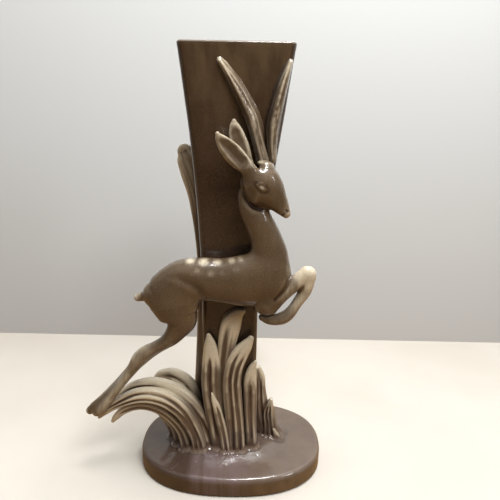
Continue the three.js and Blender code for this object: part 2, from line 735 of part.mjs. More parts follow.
// The thumbwheel's rim is cut by shallow finger notches.
function switchWheel() {
  const half = WHEEL.thickness / 2;
  const low = switchMiddle - half;
  const high = switchMiddle + half;
  const notches = 16;
  const disc = rod(WHEEL.radius, low, high, { ...wheelAxis, sides: 48 });
  const bore = rod(WHEEL.axle + WHEEL.clearance, low - 1, high + 1, { ...wheelAxis, sides: 16 });
  const cuts = Array.from({ length: notches }, (_, i) => {
    const angle = (i / notches) * 2 * Math.PI;
    const x = wheelAxis.x + (WHEEL.radius + 0.4) * Math.cos(angle);
    const y = wheelAxis.y + (WHEEL.radius + 0.4) * Math.sin(angle);
    return rod(1.1, low - 1, high + 1, { x, y, sides: 6 });
  });
  return cut(disc, bore, ...cuts);
}

function plugBody() {
  const { x, tip, length, width, height } = PLUG;
  const middle = height / 2;
  const face = slab(x, tip, tip + 9, width, GAP, height, 2);
  const neck = limb({ y: 0, stations: [[0, 0, 8.5, 7], [0, -9, 7, 6.2], [0, 12 - length, 4.4, 4.4]] });
  const turnedBack = neck.rotate([90, 0, 0]).translate([x, tip + 8, middle]);
  const cordWay = boxed(x - 1.8, x + 1.8, tip + 16, tip + length + 9, middle - 3, middle + 3);
  return cut(join(face, turnedBack), cordWay, plugBlade(-1, GAP), plugBlade(1, GAP));
}

function plugBlade(side, grow) {
  const x = PLUG.x + (side * BLADE.spacing) / 2;
  const middle = PLUG.height / 2;
  const t = BLADE.thickness / 2 + grow;
  const w = BLADE.width / 2 + grow;
  const root = PLUG.tip + 6 + grow;
  return boxed(x - t, x + t, PLUG.tip - BLADE.length - grow, root, middle - w, middle + w);
}

const feltPad = () => ovalStack([[4, 0], [4, FELT_THICKNESS]]);

// ---------- the lamp ----------
const lamp = new THREE.Group();

function add(name, body, material) {
  const mesh = new THREE.Mesh(geometryOf(body), material.clone());
  mesh.name = name;
  lamp.add(mesh);
}

add("base_plinth", basePlinth(), glaze.base);
add("flared_column", cut(columnBody(0), columnBody(-WALL)), glaze.column);

// Each member stops a hair short of the base, the column and the members luted on before it.
const laid = [baseOutside(GAP), columnBody(GAP)];
function addMembers(group, material) {
  for (const [name, limbs] of Object.entries(group)) {
    add(name, largest(cut(memberBody(limbs, 0), ...laid)), material);
    laid.push(memberBody(limbs, GAP));
  }
}
addMembers(animal, glaze.animal);
addMembers(horns, glaze.horn);
addMembers(grass, glaze.grass);

const plateZ = PLATE.z;
const deckUnder = BASE.top - BASE.deck;
const washerLow = deckUnder - GAP - WASHER.thickness;
const hardware = [
  ["felt_base_pad", feltPad(), felt],
  ["lamp_pipe", tube(PIPE.outer, PIPE.inner, PIPE.bottom, PIPE.top), steel],
  ["base_washer", ringOnPipe(WASHER.radius, washerLow, washerLow + WASHER.thickness), steel],
  ["base_locknut", ringOnPipe(NUT.radius, washerLow - GAP - NUT.height, washerLow - GAP, hexagon), brass],
  ["centring_plate", centringPlate(), steel],
  ["plate_locknut", ringOnPipe(NUT.radius, plateZ - GAP - NUT.height, plateZ - GAP, hexagon), brass],
  ["socket_cap", socketCap(), brass],
  ["socket_set_screw", setScrew(0), steel],
  ["socket_shell", socketShell(), brass],
  ["socket_liner", socketLiner(), card],
  ["socket_core", socketCore(), phenolic],
  ["socket_screw_shell", screwShell(), brass],
  ["socket_centre_contact", centreContact(), brass],
  ["terminal_screw_live", terminalScrew(-1), brass],
  ["terminal_screw_neutral", terminalScrew(1), steel],
  ["bulb_cap", bulbCap(), brass],
  ["bulb_glass", bulbGlass(), frosted],
  ["bulb_foot_contact", bulbFootContact(), steel],
  ["bulb_stem", stemGlass(), frosted],
  ["bulb_filament", filament(), tungsten],
  ["cord_bushing", cordBushing(), rubber],
  ["lamp_cord", lampCord(), brownPlastic],
  ["plug_cord", plugCord(), brownPlastic],
  ["hank_tie", hankTie(), paper],
  ["switch_bottom", switchBottom(), brownPlastic],
  ["switch_top", switchTop(), brownPlastic],
  ["switch_wheel", switchWheel(), phenolic],
  ["switch_axle", switchAxle(), steel],
  ["switch_contact_in", switchContact(-1, 0), brass],
  ["switch_contact_out", switchContact(1, 0), brass],
  ["switch_screw", switchScrew(), steel],
  ["plug_body", plugBody(), brownPlastic],
  ["plug_blade_left", plugBlade(-1, 0), brass],
  ["plug_blade_right", plugBlade(1, 0), brass],
];
for (const [name, body, material] of hardware) add(name, body, material);

export default lamp;
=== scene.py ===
"""The looks of a glazed ceramic television lamp: a leaping gazelle on a flared column with grass at its foot.

The ceramic is sculpted as distance fields in millimetres, in the frame's own axes, then meshed with surface
nets. Every length is drawn for a lamp DRAWN_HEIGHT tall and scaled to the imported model's own height.
"""

import json
import math

import bpy
import numpy as np
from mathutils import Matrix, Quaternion, Vector


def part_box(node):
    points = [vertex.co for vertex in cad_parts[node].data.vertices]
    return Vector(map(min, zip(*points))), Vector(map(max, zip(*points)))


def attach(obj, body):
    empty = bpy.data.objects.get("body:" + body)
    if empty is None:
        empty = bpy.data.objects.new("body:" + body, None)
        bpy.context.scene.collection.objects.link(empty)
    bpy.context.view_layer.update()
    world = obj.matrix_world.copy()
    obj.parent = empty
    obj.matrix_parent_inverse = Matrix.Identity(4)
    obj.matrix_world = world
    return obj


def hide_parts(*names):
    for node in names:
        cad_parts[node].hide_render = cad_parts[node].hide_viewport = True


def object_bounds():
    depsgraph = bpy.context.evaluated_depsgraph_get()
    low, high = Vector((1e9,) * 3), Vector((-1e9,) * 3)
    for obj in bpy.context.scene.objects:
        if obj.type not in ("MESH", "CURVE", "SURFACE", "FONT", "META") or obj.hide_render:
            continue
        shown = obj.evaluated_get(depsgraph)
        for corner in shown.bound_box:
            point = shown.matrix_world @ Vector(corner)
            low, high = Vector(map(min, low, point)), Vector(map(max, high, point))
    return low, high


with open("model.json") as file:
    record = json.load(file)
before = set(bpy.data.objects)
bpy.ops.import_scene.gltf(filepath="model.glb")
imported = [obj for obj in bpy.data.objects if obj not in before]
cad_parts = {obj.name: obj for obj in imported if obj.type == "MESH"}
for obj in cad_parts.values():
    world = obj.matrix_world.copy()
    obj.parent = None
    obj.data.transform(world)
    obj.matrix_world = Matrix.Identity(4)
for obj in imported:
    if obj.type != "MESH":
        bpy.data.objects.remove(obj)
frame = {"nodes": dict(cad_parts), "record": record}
cad_low, cad_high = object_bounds()

DRAWN_HEIGHT = 455.0
MM = (cad_high.z - cad_low.z) / DRAWN_HEIGHT  # one drawn millimetre in the frame's metres
STEP = 0.85  # grid step of the sculpted pieces
BODY = "lamp"


def box_mm(node):
    """The lowest and highest corner of a CAD node, in drawn millimetres."""
    low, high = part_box(node)
    return np.array(low) / MM, np.array(high) / MM


def middle_of(node):
    low, high = box_mm(node)
    return (low + high) / 2


def half_width(node):
    low, high = box_mm(node)
    return (high[0] - low[0]) / 2


base_low, base_high = box_mm("base_plinth")
column_low, column_high = box_mm("flared_column")
HALF_LENGTH, HALF_DEPTH = base_high[:2]
TOP = base_high[2]
RIM = column_high[2]
SIDE = middle_of("gazelle_tail")[1]  # depth of the gazelle's own middle
ROOT = TOP - 3  # the members start a little below the base's top


# ---------- fields ----------
def smooth_min(a, b, blend):
    """The union of two fields, with a fillet about as wide as blend."""
    share = np.clip(0.5 + 0.5 * (b - a) / blend, 0, 1)
    return b + (a - b) * share - blend * share * (1 - share)


def ease(value, low, high):
    """0 below low, 1 above high and a smooth slope between."""
    share = np.clip((value - low) / (high - low), 0, 1)
    return share * share * (3 - 2 * share)


def bump(value, centre, width):
    return np.exp(-(((value - centre) / width) ** 2))


def through(rows, per_span=8):
    """Rows of numbers on a smooth curve through the given rows."""
    rows = np.asarray(rows, float)
    padded = np.vstack([2 * rows[0] - rows[1], rows, 2 * rows[-1] - rows[-2]])
    share = (np.arange(per_span) / per_span)[:, None]
    spans = []
    for a, b, c, d in zip(padded, padded[1:], padded[2:], padded[3:]):
        bend = (2 * a - 5 * b + 4 * c - d) * share**2 + (3 * b - a - 3 * c + d) * share**3
        spans.append(b + 0.5 * ((c - a) * share + bend))
    return np.vstack([*spans, rows[-1:]])


class Limb:
    """A modelled member of oval section.

    Its depth is y, or the depths of its two ends. Its stations run from root to tip: x, z, half width, half
    thickness. relief(across, along, front) adds millimetres to the surface: across runs from -1 to 1 over
    the width, along from 0 to 1 over the length, and front is -1 on the face towards -Y.
    """

    def __init__(self, y, *stations, relief=None, blend=4.0, power=2.0):
        ends = np.broadcast_to(np.asarray(y, float), 2)
        depths = np.linspace(ends[0], ends[1], len(stations))
        rows = [[*station, depth] for station, depth in zip(stations, depths)]
        self.path = through(rows)
        self.path[:, 2:4] = np.maximum(self.path[:, 2:4], 0.8)
        steps = np.hypot(*np.diff(self.path[:, :2], axis=0).T)
        self.share = np.concatenate([[0], np.cumsum(steps)]) / steps.sum()
        self.length = steps.sum()
        self.relief = relief
        self.blend = blend
        self.power = power  # 2 is an oval section, and more is boxier

    def reach(self, margin):
        x, z, width, thickness, y = self.path.T
        low = [(x - width).min(), (y - thickness).min(), (z - width).min()]
        high = [(x + width).max(), (y + thickness).max(), (z + width).max()]
        return np.array(low) - margin, np.array(high) + margin

    def nearest(self, x, z):
        """Distance from the centre line in side view, which side, and the place along the path."""
        shape = np.broadcast(x, z).shape
        best = np.full(shape, np.inf)
        side = np.zeros(shape)
        place = np.zeros(shape)
        for i, (here, there) in enumerate(zip(self.path, self.path[1:])):
            run, rise = there[:2] - here[:2]
            share = ((x - here[0]) * run + (z - here[1]) * rise) / (run * run + rise * rise)
            share = np.clip(share, 0, 1)
            off_x = x - here[0] - share * run
            off_z = z - here[1] - share * rise
            gap = off_x**2 + off_z**2
            closer = gap < best
            best = np.where(closer, gap, best)
            side = np.where(closer, np.sign(off_x * rise - off_z * run), side)
            place = np.where(closer, i + share, place)
        return np.sqrt(best), side, place

    def at(self, place, column):
        values = self.share if column == "share" else self.path[:, column]
        return np.interp(place, np.arange(len(values)), values)

    def __call__(self, x, y, z):
        away, side, place = self.nearest(x, z)
        width, thickness, depth = (self.at(place, column) for column in (2, 3, 4))
        across = away / width
        front = (y - depth) / thickness
        u, v = np.abs(across) + 1e-4, np.abs(front) + 1e-4
        power = self.power
        scaled = (u**power + v**power) ** (1 / power)
        slope = np.hypot(u ** (power - 1) / width, v ** (power - 1) / thickness) * scaled ** (1 - power)
        distance = (scaled - 1) / slope
        if self.relief:
            distance = distance - self.relief(side * across, self.at(place, "share"), front)
        return distance


def near_side(front):
    return ease(-front, -0.1, 0.35)


# ---------- the column and the base as fields ----------
def column_levels():
    """Height, left, right, front and back of the CAD column's outside, one row for each of its rings.

    The column only widens upwards, so a ring narrower than one below it is an inner one and is left out.
    """
    points = np.array([v.co for v in frame["nodes"]["flared_column"].data.vertices]) / MM
    rows = []
    for z in np.unique(np.round(points[:, 2], 1)):
        ring = points[np.abs(points[:, 2] - z) < 0.06]
        left, front, _ = ring.min(axis=0)
        right, back, _ = ring.max(axis=0)
        rows.append([z, left, right, front, back])
    widest = np.maximum.accumulate([row[2] - row[1] for row in rows])
    kept = [row for row, width in zip(rows, widest) if row[2] - row[1] > width - 1.5]
    return np.array(kept)


COLUMN = column_levels()
CORNER = 6.0  # of the column's upright edges
WALL = 5.0


def column_sides(z):
    return [np.interp(z, COLUMN[:, 0], COLUMN[:, i]) for i in range(1, 5)]


def column_distance(x, y, z):
    """Distance outside the column, which here is solid and runs down through the base."""
    left, right, front, back = column_sides(z)
    over_x = np.abs(x - (left + right) / 2) - (right - left) / 2 + CORNER
    over_y = np.abs(y - (front + back) / 2) - (back - front) / 2 + CORNER
    outside = np.hypot(np.maximum(over_x, 0), np.maximum(over_y, 0))
    return outside + np.minimum(np.maximum(over_x, over_y), 0) - CORNER


BULGE = 2.4  # power of the base's superellipse
EDGE = 5.0  # rounding of the base's top edge
FOOT = base_low[2]


def base_distance(x, y, z):
    """Distance outside the base taken as solid, with its rounded top edge."""
    plan = (np.abs(x / HALF_LENGTH) ** BULGE + np.abs(y / HALF_DEPTH) ** BULGE) ** (1 / BULGE)
    spread = np.hypot(x, y) / np.maximum(plan, 1e-6)
    over = (plan - 1) * spread + EDGE
    rise = z - TOP + EDGE
    outside = np.hypot(np.maximum(over, 0), np.maximum(rise, 0))
    return outside + np.minimum(np.maximum(over, rise), 0) - EDGE


CLUMP = [(-34, -24), (-10, -32), (8, -27), (26, -20), (44, 2)]  # the grass's feet in plan


def clump_distance(x, y):
    """How far a place on the base is from the line of the grass's feet."""
    nearest = np.float32(1e3)
    for (x0, y0), (x1, y1) in zip(CLUMP, CLUMP[1:]):
        run, rise = x1 - x0, y1 - y0
        share = np.clip(((x - x0) * run + (y - y0) * rise) / (run * run + rise * rise), 0, 1)
        nearest = np.minimum(nearest, np.hypot(x - x0 - share * run, y - y0 - share * rise))
    return nearest


def base_top_distance(x, y, z):
    """The base with the glaze swelling up towards the grass's feet."""
    swell = 5.5 * bump(np.maximum(clump_distance(x, y) - 6, 0), 0, 13)
    return base_distance(x, y, z - swell * ease(z, TOP - 8, TOP))


def stand_distance(x, y, z):
    """The column and the base together, without a fillet between them."""
    return np.minimum(column_distance(x, y, z), base_top_distance(x, y, z))


# ---------- the sculpted members ----------
def hollow(depth, centre):
    """A scooped face, as inside an ear."""
    width, start, end = 0.75, 0.12, 0.95

    def relief(across, along, front):
        scoop = np.clip(1 - ((across - centre) / width) ** 2, 0, 1) ** 1.4
        return -depth * scoop * ease(along, start, start + 0.2) * ease(-along, -end, -0.7) * near_side(front)

    return relief


def grooves(*lines, depth, ridge, width=0.16, start=0.0, end=0.9, wander=0.06):
    """Lengthwise grooves that wander a little across a blade's front, with a soft ridge on each side."""

    def relief(across, along, front):
        fade = ease(along, start, start + 0.12) * ease(-along, -end, -end + 0.12) * near_side(front)
        total = 0
        for number, line in enumerate(lines):
            here = line + wander * np.sin(along * 8 + 2.3 * number + 9 * line)
            deep = depth * (1 + 0.25 * np.sin(along * 11 + number))
            total = total - deep * bump(across, here, width)
            beside = bump(across, here - 2.1 * width, width) + bump(across, here + 2.1 * width, width)
            total = total + ridge * beside
        return total * fade

    return relief


def horn_relief(rings, flutes):
    """Lengthwise flutes crossed by low rings that fade towards the tip."""

    def relief(across, along, front):
        beads = np.sin(along * rings * 2 * np.pi) * bump(across, 0.1, 0.3)
        fade = ease(-along, -0.9, -0.6) * ease(along, 0.3, 0.5)
        lines = sum(bump(across, line, 0.24) for line in flutes)
        return near_side(front) * (0.22 * beads * fade - 1.0 * lines * ease(-along, -0.97, -0.8))

    return relief


def foreleg(y, drop):
    """Reaches forward from the chest and folds back under it."""
    upper = [
        [36, 208, 13, 9], [46, 217.5, 10.8, 8], [55, 225, 9.6, 7], [64.5, 231, 8.2, 6.4],
        [75.2, 239.6, 8.9, 6.6],
    ]
    lower = [
        [76, 236, 7.8, 6], [73.6, 222, 6.2, 5.4], [66.1, 208.5, 4.9, 5], [60, 198.6, 5.6, 5],
        [53.5, 193, 6.4, 5.2], [46, 190.6, 6, 5], [38, 190.8, 5.2, 4.6], [31.5, 192.6, 3.4, 3.8],
    ]

    def lowered(stations):
        return [[x, z - drop, width, thickness] for x, z, width, thickness in stations]

    return [Limb(y, *lowered(upper), blend=2.0), Limb(y, *lowered(lower), blend=1.2)]


def hind_leg(y, step_out=0.0, thigh_drop=0.0, hoof_drop=0.0):
    """Strides out from the rump; below the hock it can step further out than its twin."""
    stations = [
        [-57, 206, 25, 12.5], [-54, 195, 21, 11.4], [-51.5, 186, 15, 10.2], [-56.5, 175.5, 10.6, 8.8],
        [-63, 167, 8.4, 7.8], [-70.5, 161, 6.8, 6.8], [-79, 155.5, 6.8, 6.2], [-88.5, 149.5, 7.8, 6],
        [-96, 142, 7.8, 5.8], [-103.5, 130.5, 5.9, 5.4], [-112.8, 117.5, 4.8, 5.2], [-122, 104.5, 4.6, 5],
        [-132, 90.5, 5.2, 5], [-140.5, 79.5, 6.2, 5.2], [-145.5, 75.5, 4.6, 4.4],
    ]
    hock, hoof = 7, len(stations) - 1
    moved = []
    for i, (x, z, width, thickness) in enumerate(stations):
        down = ease(i, hock, hoof)
        drop = thigh_drop + (hoof_drop - thigh_drop) * down
        moved.append([x - step_out * down, z - drop, width, thickness])
    return Limb(y, *moved, blend=4.0)


GAZELLE = [
    Limb(
        SIDE, [-75.5, 213, 15, 12], [-67, 218, 19.8, 15], [-48, 226.5, 24, 18], [-28, 230.5, 22.3, 17],
        [-8, 229.3, 23.5, 17], [14, 230, 27, 18], [33, 232, 26.5, 17.5], blend=6.0,
    ),
    Limb(
        [SIDE, SIDE + 2], [35, 236, 22, 15], [37, 256, 19, 14], [33, 274, 15.6, 12.5], [26, 290, 14.2, 12],
        [18.5, 305, 12.6, 10], [15.5, 317, 10.6, 8.2], [17, 326, 8, 7], blend=8.0,
    ),
    Limb(
        SIDE - 2, [19, 329, 12, 11.4], [27, 326.5, 20, 13.8], [35.5, 320, 16.6, 12.6], [43, 311.5, 10.6, 9.4],
        [48.2, 304.5, 7.4, 7.2], [51.3, 300.4, 5.2, 5.6], blend=1.4,
    ),
    Limb(
        [-40, -46], [18, 339, 7, 5], [9.4, 347.2, 8.2, 4.8], [1, 356, 9, 4.2], [-6.5, 364.2, 7.4, 3.6],
        [-11.6, 370.6, 4.4, 2.8], [-13.6, 374.2, 2, 1.6], relief=hollow(3.0, centre=0.2), blend=5.0,
    ),
    Limb(
        [-30, -27], [12, 347, 7, 4.5], [7, 361, 8.4, 4], [3, 373, 7.4, 3.4], [1, 381, 4.8, 2.6],
        [0.6, 384.6, 2.4, 1.8], relief=hollow(1.6, centre=0.0), blend=4.0,
    ),
    *foreleg(SIDE - 6, 0),
    *foreleg(SIDE + 4, 4),
    hind_leg([SIDE - 6.5, SIDE - 3]),
    hind_leg([SIDE + 4, SIDE + 2], step_out=8.5, thigh_drop=4, hoof_drop=1),
    Limb(SIDE, [-84, 211.5, 5, 4.6], [-90.5, 210.6, 4.9, 4.4], [-95.2, 209.2, 4, 3.8], blend=1.2),
]
GAZELLE_NODES = [
    "gazelle_torso", "gazelle_head", "near_ear", "far_ear", "near_foreleg", "far_foreleg",
    "near_hind_leg", "far_hind_leg", "gazelle_tail",
]

HORNS = {
    "left_horn": [
        Limb(
            [-23, -24.5], [27.5, 350, 7.4, 7], [23.2, 365, 6.4, 7], [17.2, 386, 7, 6.5], [11.5, 398, 6.3, 6],
            [4.6, 411, 5.4, 5.2], [-3.4, 424, 3.8, 4], [-9.8, 433.5, 2.2, 3], [-13, 437.4, 1, 2.2],
            relief=horn_relief(14, (-0.5, 0.36)), blend=2.6,
        )
    ],
    "right_horn": [
        Limb(
            [-24, -24.5], [37.4, 351, 4, 6], [36, 366, 5, 6.5], [36.8, 383, 5.9, 6.5], [39.8, 399, 5.5, 6],
            [44.4, 417, 4.4, 4.8], [48.6, 430, 2.6, 3.4], [51.4, 437, 1.1, 2.2],
            relief=horn_relief(13, (-0.4, 0.5)), blend=2.6,
        )
    ],
}

BOXY = 2.8  # section of the grass blades


def blade(y, *stations, relief=None):
    return Limb(y, *stations, relief=relief, blend=2.0, power=BOXY)


GRASS = {
    "tall_back_blade": [blade(
        [17, 22], [-35, ROOT, 13, 7], [-31, 90, 13, 6], [-28, 160, 13, 5.5], [-28, 240, 12.5, 5.5],
        [-34.5, 300, 13.5, 5], [-43, 331, 14, 4.6], [-49, 345, 12, 4.2], [-52, 352, 8, 3.6],
        relief=grooves(0.35, depth=1.0, width=0.25, ridge=0.3),
    )],
    "front_blade_tall": [blade(
        [-21, -19], [-5, ROOT, 8, 7], [-7, 80, 8, 6], [-8, 125, 8, 5.5], [-6, 146, 9, 6],
        [-3, 165, 10.6, 6], [0.5, 178, 10.4, 5.6], [6.5, 187, 6.8, 4.4], [12.5, 191, 2.2, 2.6],
        relief=grooves(-0.25, depth=1.2, width=0.24, start=0.3, end=0.96, ridge=0.3),
    )],
    "front_blade_left": [blade(
        [-25, -21], [-10, ROOT, 8.4, 7], [-15, 52, 10, 6.8], [-19.5, 85, 10.8, 6.4],
        [-21.5, 106, 10.8, 6.2], [-21.5, 127, 10.4, 6], [-22, 140, 9, 5.6], [-23, 153, 6.4, 4.6],
        [-24.5, 163, 2.4, 2.8],
        relief=grooves(-0.1, depth=2.2, width=0.2, start=0.12, end=0.86, ridge=0.4),
    )],
    "front_blade_centre": [blade(
        [-28, -25], [7.5, ROOT, 10, 7], [4.5, 61, 10.4, 7], [1.6, 98, 10.4, 6.6], [1.2, 115, 10, 6.4],
        [3.6, 131, 9.6, 6], [9, 144, 9, 5.6], [15.6, 154, 6.8, 4.6], [20.5, 162, 3.4, 3.2],
        relief=grooves(-0.2, 0.45, depth=1.5, width=0.17, end=0.95, ridge=0.3),
    )],
    "front_blade_right": [blade(
        [-22, -21], [24, ROOT, 7, 7], [22, 60, 7, 6.2], [21.2, 90, 7.8, 6.2],
        [20.8, 112, 7, 5.4], [22.5, 124, 4.8, 4], [26, 132.5, 1.9, 2.6],
        relief=grooves(0.05, depth=1.2, width=0.24, start=0.1, end=0.8, ridge=0.3),
    )],
    "front_blade_short": [blade(
        [-31, -29], [-4, ROOT, 5, 5], [-7.5, 48, 5, 5], [-11.5, 66, 5, 4.8], [-15.2, 81, 4.2, 4.2],
        [-18.4, 91, 2.8, 3.2], [-20.2, 98, 1.2, 2.2],
        relief=grooves(0.25, depth=1.0, width=0.26, ridge=0.2),
    )],
    "right_side_blade": [
        blade(
            [6, 2], [40, ROOT, 14, 10], [37, 44, 11.5, 9], [34.5, 62, 9, 8], [32.8, 84, 6.4, 6.4],
            [31.8, 100, 6, 5], [30, 112, 3, 3.4], relief=grooves(0.1, depth=1.2, ridge=0.3),
        ),
        blade(
            [2, -2], [48, ROOT, 11, 9], [45.2, 42, 8.4, 8], [43.6, 56, 7, 6.6], [44, 66, 4.6, 5],
            [45.4, 74, 2, 3], relief=grooves(0.1, -0.45, depth=1.2, ridge=0.3),
        ),
        blade([-4, -6], [56, ROOT, 4.4, 6], [52.5, 30, 3.6, 4.4], [50, 37, 1.8, 2.6]),
        blade([8, 6], [60, ROOT, 4, 5], [56, 28, 3.2, 4], [53, 34, 1.8, 2.4]),
    ],
    "arched_blade_main": [blade(
        [-27, -30], [-34, ROOT, 9, 8], [-36, 37, 8.4, 7.6], [-40, 51, 9, 7.6], [-46, 64, 9.6, 7.8],
        [-53.5, 76, 9.8, 7.8], [-64, 86, 10, 7.6], [-76, 92, 9.4, 7.2], [-90, 94.5, 8.6, 6.6],
        [-104, 93, 7.8, 6], [-117, 87.5, 6.4, 5.4], [-130, 80, 5, 4.6], [-140, 72, 3.8, 3.8],
        [-144.5, 66.5, 2, 2.4],
        relief=grooves(0.34, -0.3, depth=1.5, width=0.2, end=0.98, ridge=0.4, wander=0.14),
    )],
    "arched_blade_middle": [blade(
        [-21, -15], [-20.5, ROOT, 8.6, 8], [-26, 42, 8.8, 7.4], [-33, 59, 9.2, 7.4], [-41.5, 73, 9.4, 7.2],
        [-52, 85, 9.6, 7], [-64, 93, 9.6, 7], [-84, 99, 9, 6.5], [-104, 96.5, 7.4, 5.4],
        [-118, 89, 5.6, 4.6], [-130, 80, 2.5, 3],
        relief=grooves(0.1, -0.5, depth=1.3, width=0.24, end=0.96, ridge=0.3, wander=0.12),
    )],
    "arched_blade_back": [blade(
        [4, 7], [-40, ROOT, 8, 7], [-42, 60, 8.4, 7], [-50, 86, 8.8, 6.4], [-66, 98.5, 7.8, 5.4],
        [-80, 99.5, 5.4, 4], [-88, 96, 2.4, 3],
        relief=grooves(0.0, depth=1.0, width=0.24, ridge=0.3),
    )],
    "arched_blade_under": [blade(
        [-24, -26], [-48, ROOT, 7, 6], [-55, 46, 5.6, 5.4], [-68, 65, 5, 5.2], [-84, 76, 4.8, 4.8],
        [-101, 79, 4.6, 4.6], [-117, 73.5, 4.4, 4.2], [-127.5, 64, 3.4, 3.4], [-131, 59, 2.2, 2.4],
        relief=grooves(-0.1, depth=0.8, width=0.26, end=0.97, ridge=0.2),
    )],
    "low_blade_pale": [blade(
        [-14, -16], [-59, ROOT, 5.4, 5], [-65, 46, 4.6, 4.6], [-78, 62, 3.8, 3.8], [-95, 72.5, 2, 2.4],
    )],
    "low_blade_thin": [blade([-3, -4], [-67, ROOT, 5, 5], [-71, 36, 3.8, 4], [-82.5, 52.5, 2, 2.4])],
}


# ---------- grids and surface nets ----------
class Grid:
    """A box of evenly spaced points, with a field value at each."""

    def __init__(self, low, high, step):
        self.low = np.asarray(low, float)
        self.step = step
        self.counts = np.ceil((np.asarray(high) - self.low) / step).astype(int) + 1
        far_outside = 30.0
        self.field = np.full(self.counts, far_outside, np.float32)

    def window(self, low, high):
        first = np.clip(np.floor((low - self.low) / self.step).astype(int), 0, self.counts)
        last = np.clip(np.ceil((high - self.low) / self.step).astype(int) + 1, 0, self.counts)
        return tuple(slice(a, b) for a, b in zip(first, last))

    def axes(self, window=(slice(None),) * 3):
        lines = [self.low[i] + self.step * np.arange(self.counts[i])[window[i]] for i in range(3)]
        x, y, z = (line.astype(np.float32) for line in lines)
        return x[:, None, None], y[None, :, None], z[None, None, :]

    def blend_in(self, limb):
        window = self.window(*limb.reach(limb.blend + 2))
        here = self.field[window]
        self.field[window] = smooth_min(here, limb(*self.axes(window)), limb.blend)

    def edit(self, low, high, change):
        """Replaces the field in a small box by change(field, x, y, z)."""
        window = self.window(np.asarray(low, float), np.asarray(high, float))
        self.field[window] = change(self.field[window], *self.axes(window))

    def sample(self, points):
        """The field between the grid's points."""
        cells = (points - self.low) / self.step
        base = np.clip(np.floor(cells).astype(int), 0, self.counts - 2)
        share = cells - base
        total = np.zeros(len(points))
        for corner in np.ndindex(2, 2, 2):
            weight = np.prod(np.where(corner, share, 1 - share), axis=1)
            total += weight * self.field[tuple((base + corner).T)]
        return total

    def slope(self, points):
        reach = self.step * 0.6
        steps = np.eye(3) * reach
        return np.stack([self.sample(points + s) - self.sample(points - s) for s in steps], 1) / (2 * reach)

    def net(self):
        """Points and quads of the surface where the field is zero."""
        inside = self.field < 0
        corners = list(np.ndindex(2, 2, 2))
        ends = np.array(inside.shape) - 1
        filled = np.zeros(ends, np.int8)
        for i, j, k in corners:
            filled += inside[i : ends[0] + i, j : ends[1] + j, k : ends[2] + k]
        active = (filled > 0) & (filled < 8)
        cells = np.argwhere(active)
        ids = np.full(active.shape, -1, np.int64)
        ids[active] = np.arange(len(cells))
        values = [self.field[tuple((cells + corner).T)] for corner in corners]
        total = np.zeros((len(cells), 3))
        crossings = np.zeros(len(cells))
        for here, corner in enumerate(corners):
            for axis in range(3):
                if corner[axis]:
                    continue
                step = np.eye(3, dtype=int)[axis]
                there = corners.index(tuple(np.array(corner) + step))
                a, b = values[here], values[there]
                crossed = (a < 0) != (b < 0)
                share = np.where(crossed, a / np.where(crossed, a - b, 1), 0)
                total += crossed[:, None] * (np.array(corner) + share[:, None] * step)
                crossings += crossed
        points = self.low + (cells + total / crossings[:, None]) * self.step
        return points, self.quads(inside, ids)

    @staticmethod
    def quads(inside, ids):
        faces = []
        for axis in range(3):
            across, up = (axis + 1) % 3, (axis + 2) % 3
            lower = np.take(inside, range(inside.shape[axis] - 1), axis)
            upper = np.take(inside, range(1, inside.shape[axis]), axis)
            edges = np.argwhere(lower != upper)
            fits = np.ones(len(edges), bool)
            for other in (across, up):
                fits &= (edges[:, other] > 0) & (edges[:, other] < inside.shape[other] - 1)
            edges = edges[fits]
            outward = lower[tuple(edges.T)]
            ring = []
            for shift in ((0, 0), (1, 0), (1, 1), (0, 1)):
                cell = edges.copy()
                cell[:, across] -= shift[0]
                cell[:, up] -= shift[1]
                ring.append(ids[tuple(cell.T)])
            quad = np.stack(ring, 1)
            faces.append(np.where(outward[:, None], quad, quad[:, ::-1]))
        return np.vstack(faces)


def averaged(points, faces, rounds):
    """Each point moved to the mean of its neighbours, so many times."""
    here = np.concatenate([faces[:, i] for i in range(4)])
    there = np.concatenate([faces[:, (i + 1) % 4] for i in range(4)])
    start, end = np.concatenate([here, there]), np.concatenate([there, here])
    count = np.bincount(start, minlength=len(points))[:, None]
    for _ in range(rounds):
        sums = [np.bincount(start, weights=points[end, i], minlength=len(points)) for i in range(3)]
        points = np.stack(sums, 1) / np.maximum(count, 1)
    return points


def settle(grid, points, faces, rounds=2):
    """Evens out the net, then brings it back onto the field's surface."""
    for _ in range(rounds):
        points = points + 0.6 * (averaged(points, faces, 1) - points)
        slope = grid.slope(points)
        steep = np.maximum((slope**2).sum(1), 0.05)
        move = (grid.sample(points) / steep)[:, None] * slope
        points = points - np.clip(move, -grid.step, grid.step)
    return points


def biggest(points, faces):
    """The largest connected part of a net, without loose crumbs."""
    label = np.arange(len(points))
    while True:
        lowest = label[faces].min(axis=1)
        new = label.copy()
        for i in range(4):
            np.minimum.at(new, faces[:, i], lowest)
        new = new[new]
        if (new == label).all():
            break
        label = new
    names, counts = np.unique(label, return_counts=True)
    kept = label == names[counts.argmax()]
    index = np.cumsum(kept) - 1
    return points[kept], index[faces[kept[faces[:, 0]]]]


def face_normals(points, faces):
    """Unit normals at the points, from the faces round them."""
    a, b, c, d = (points[faces[:, i]] for i in range(4))
    flat = np.cross(c - a, d - b)
    total = np.zeros_like(points)
    for i in range(4):
        for axis in range(3):
            total[:, axis] += np.bincount(faces[:, i], weights=flat[:, axis], minlength=len(points))
    return total / np.maximum(np.linalg.norm(total, axis=1), 1e-9)[:, None]


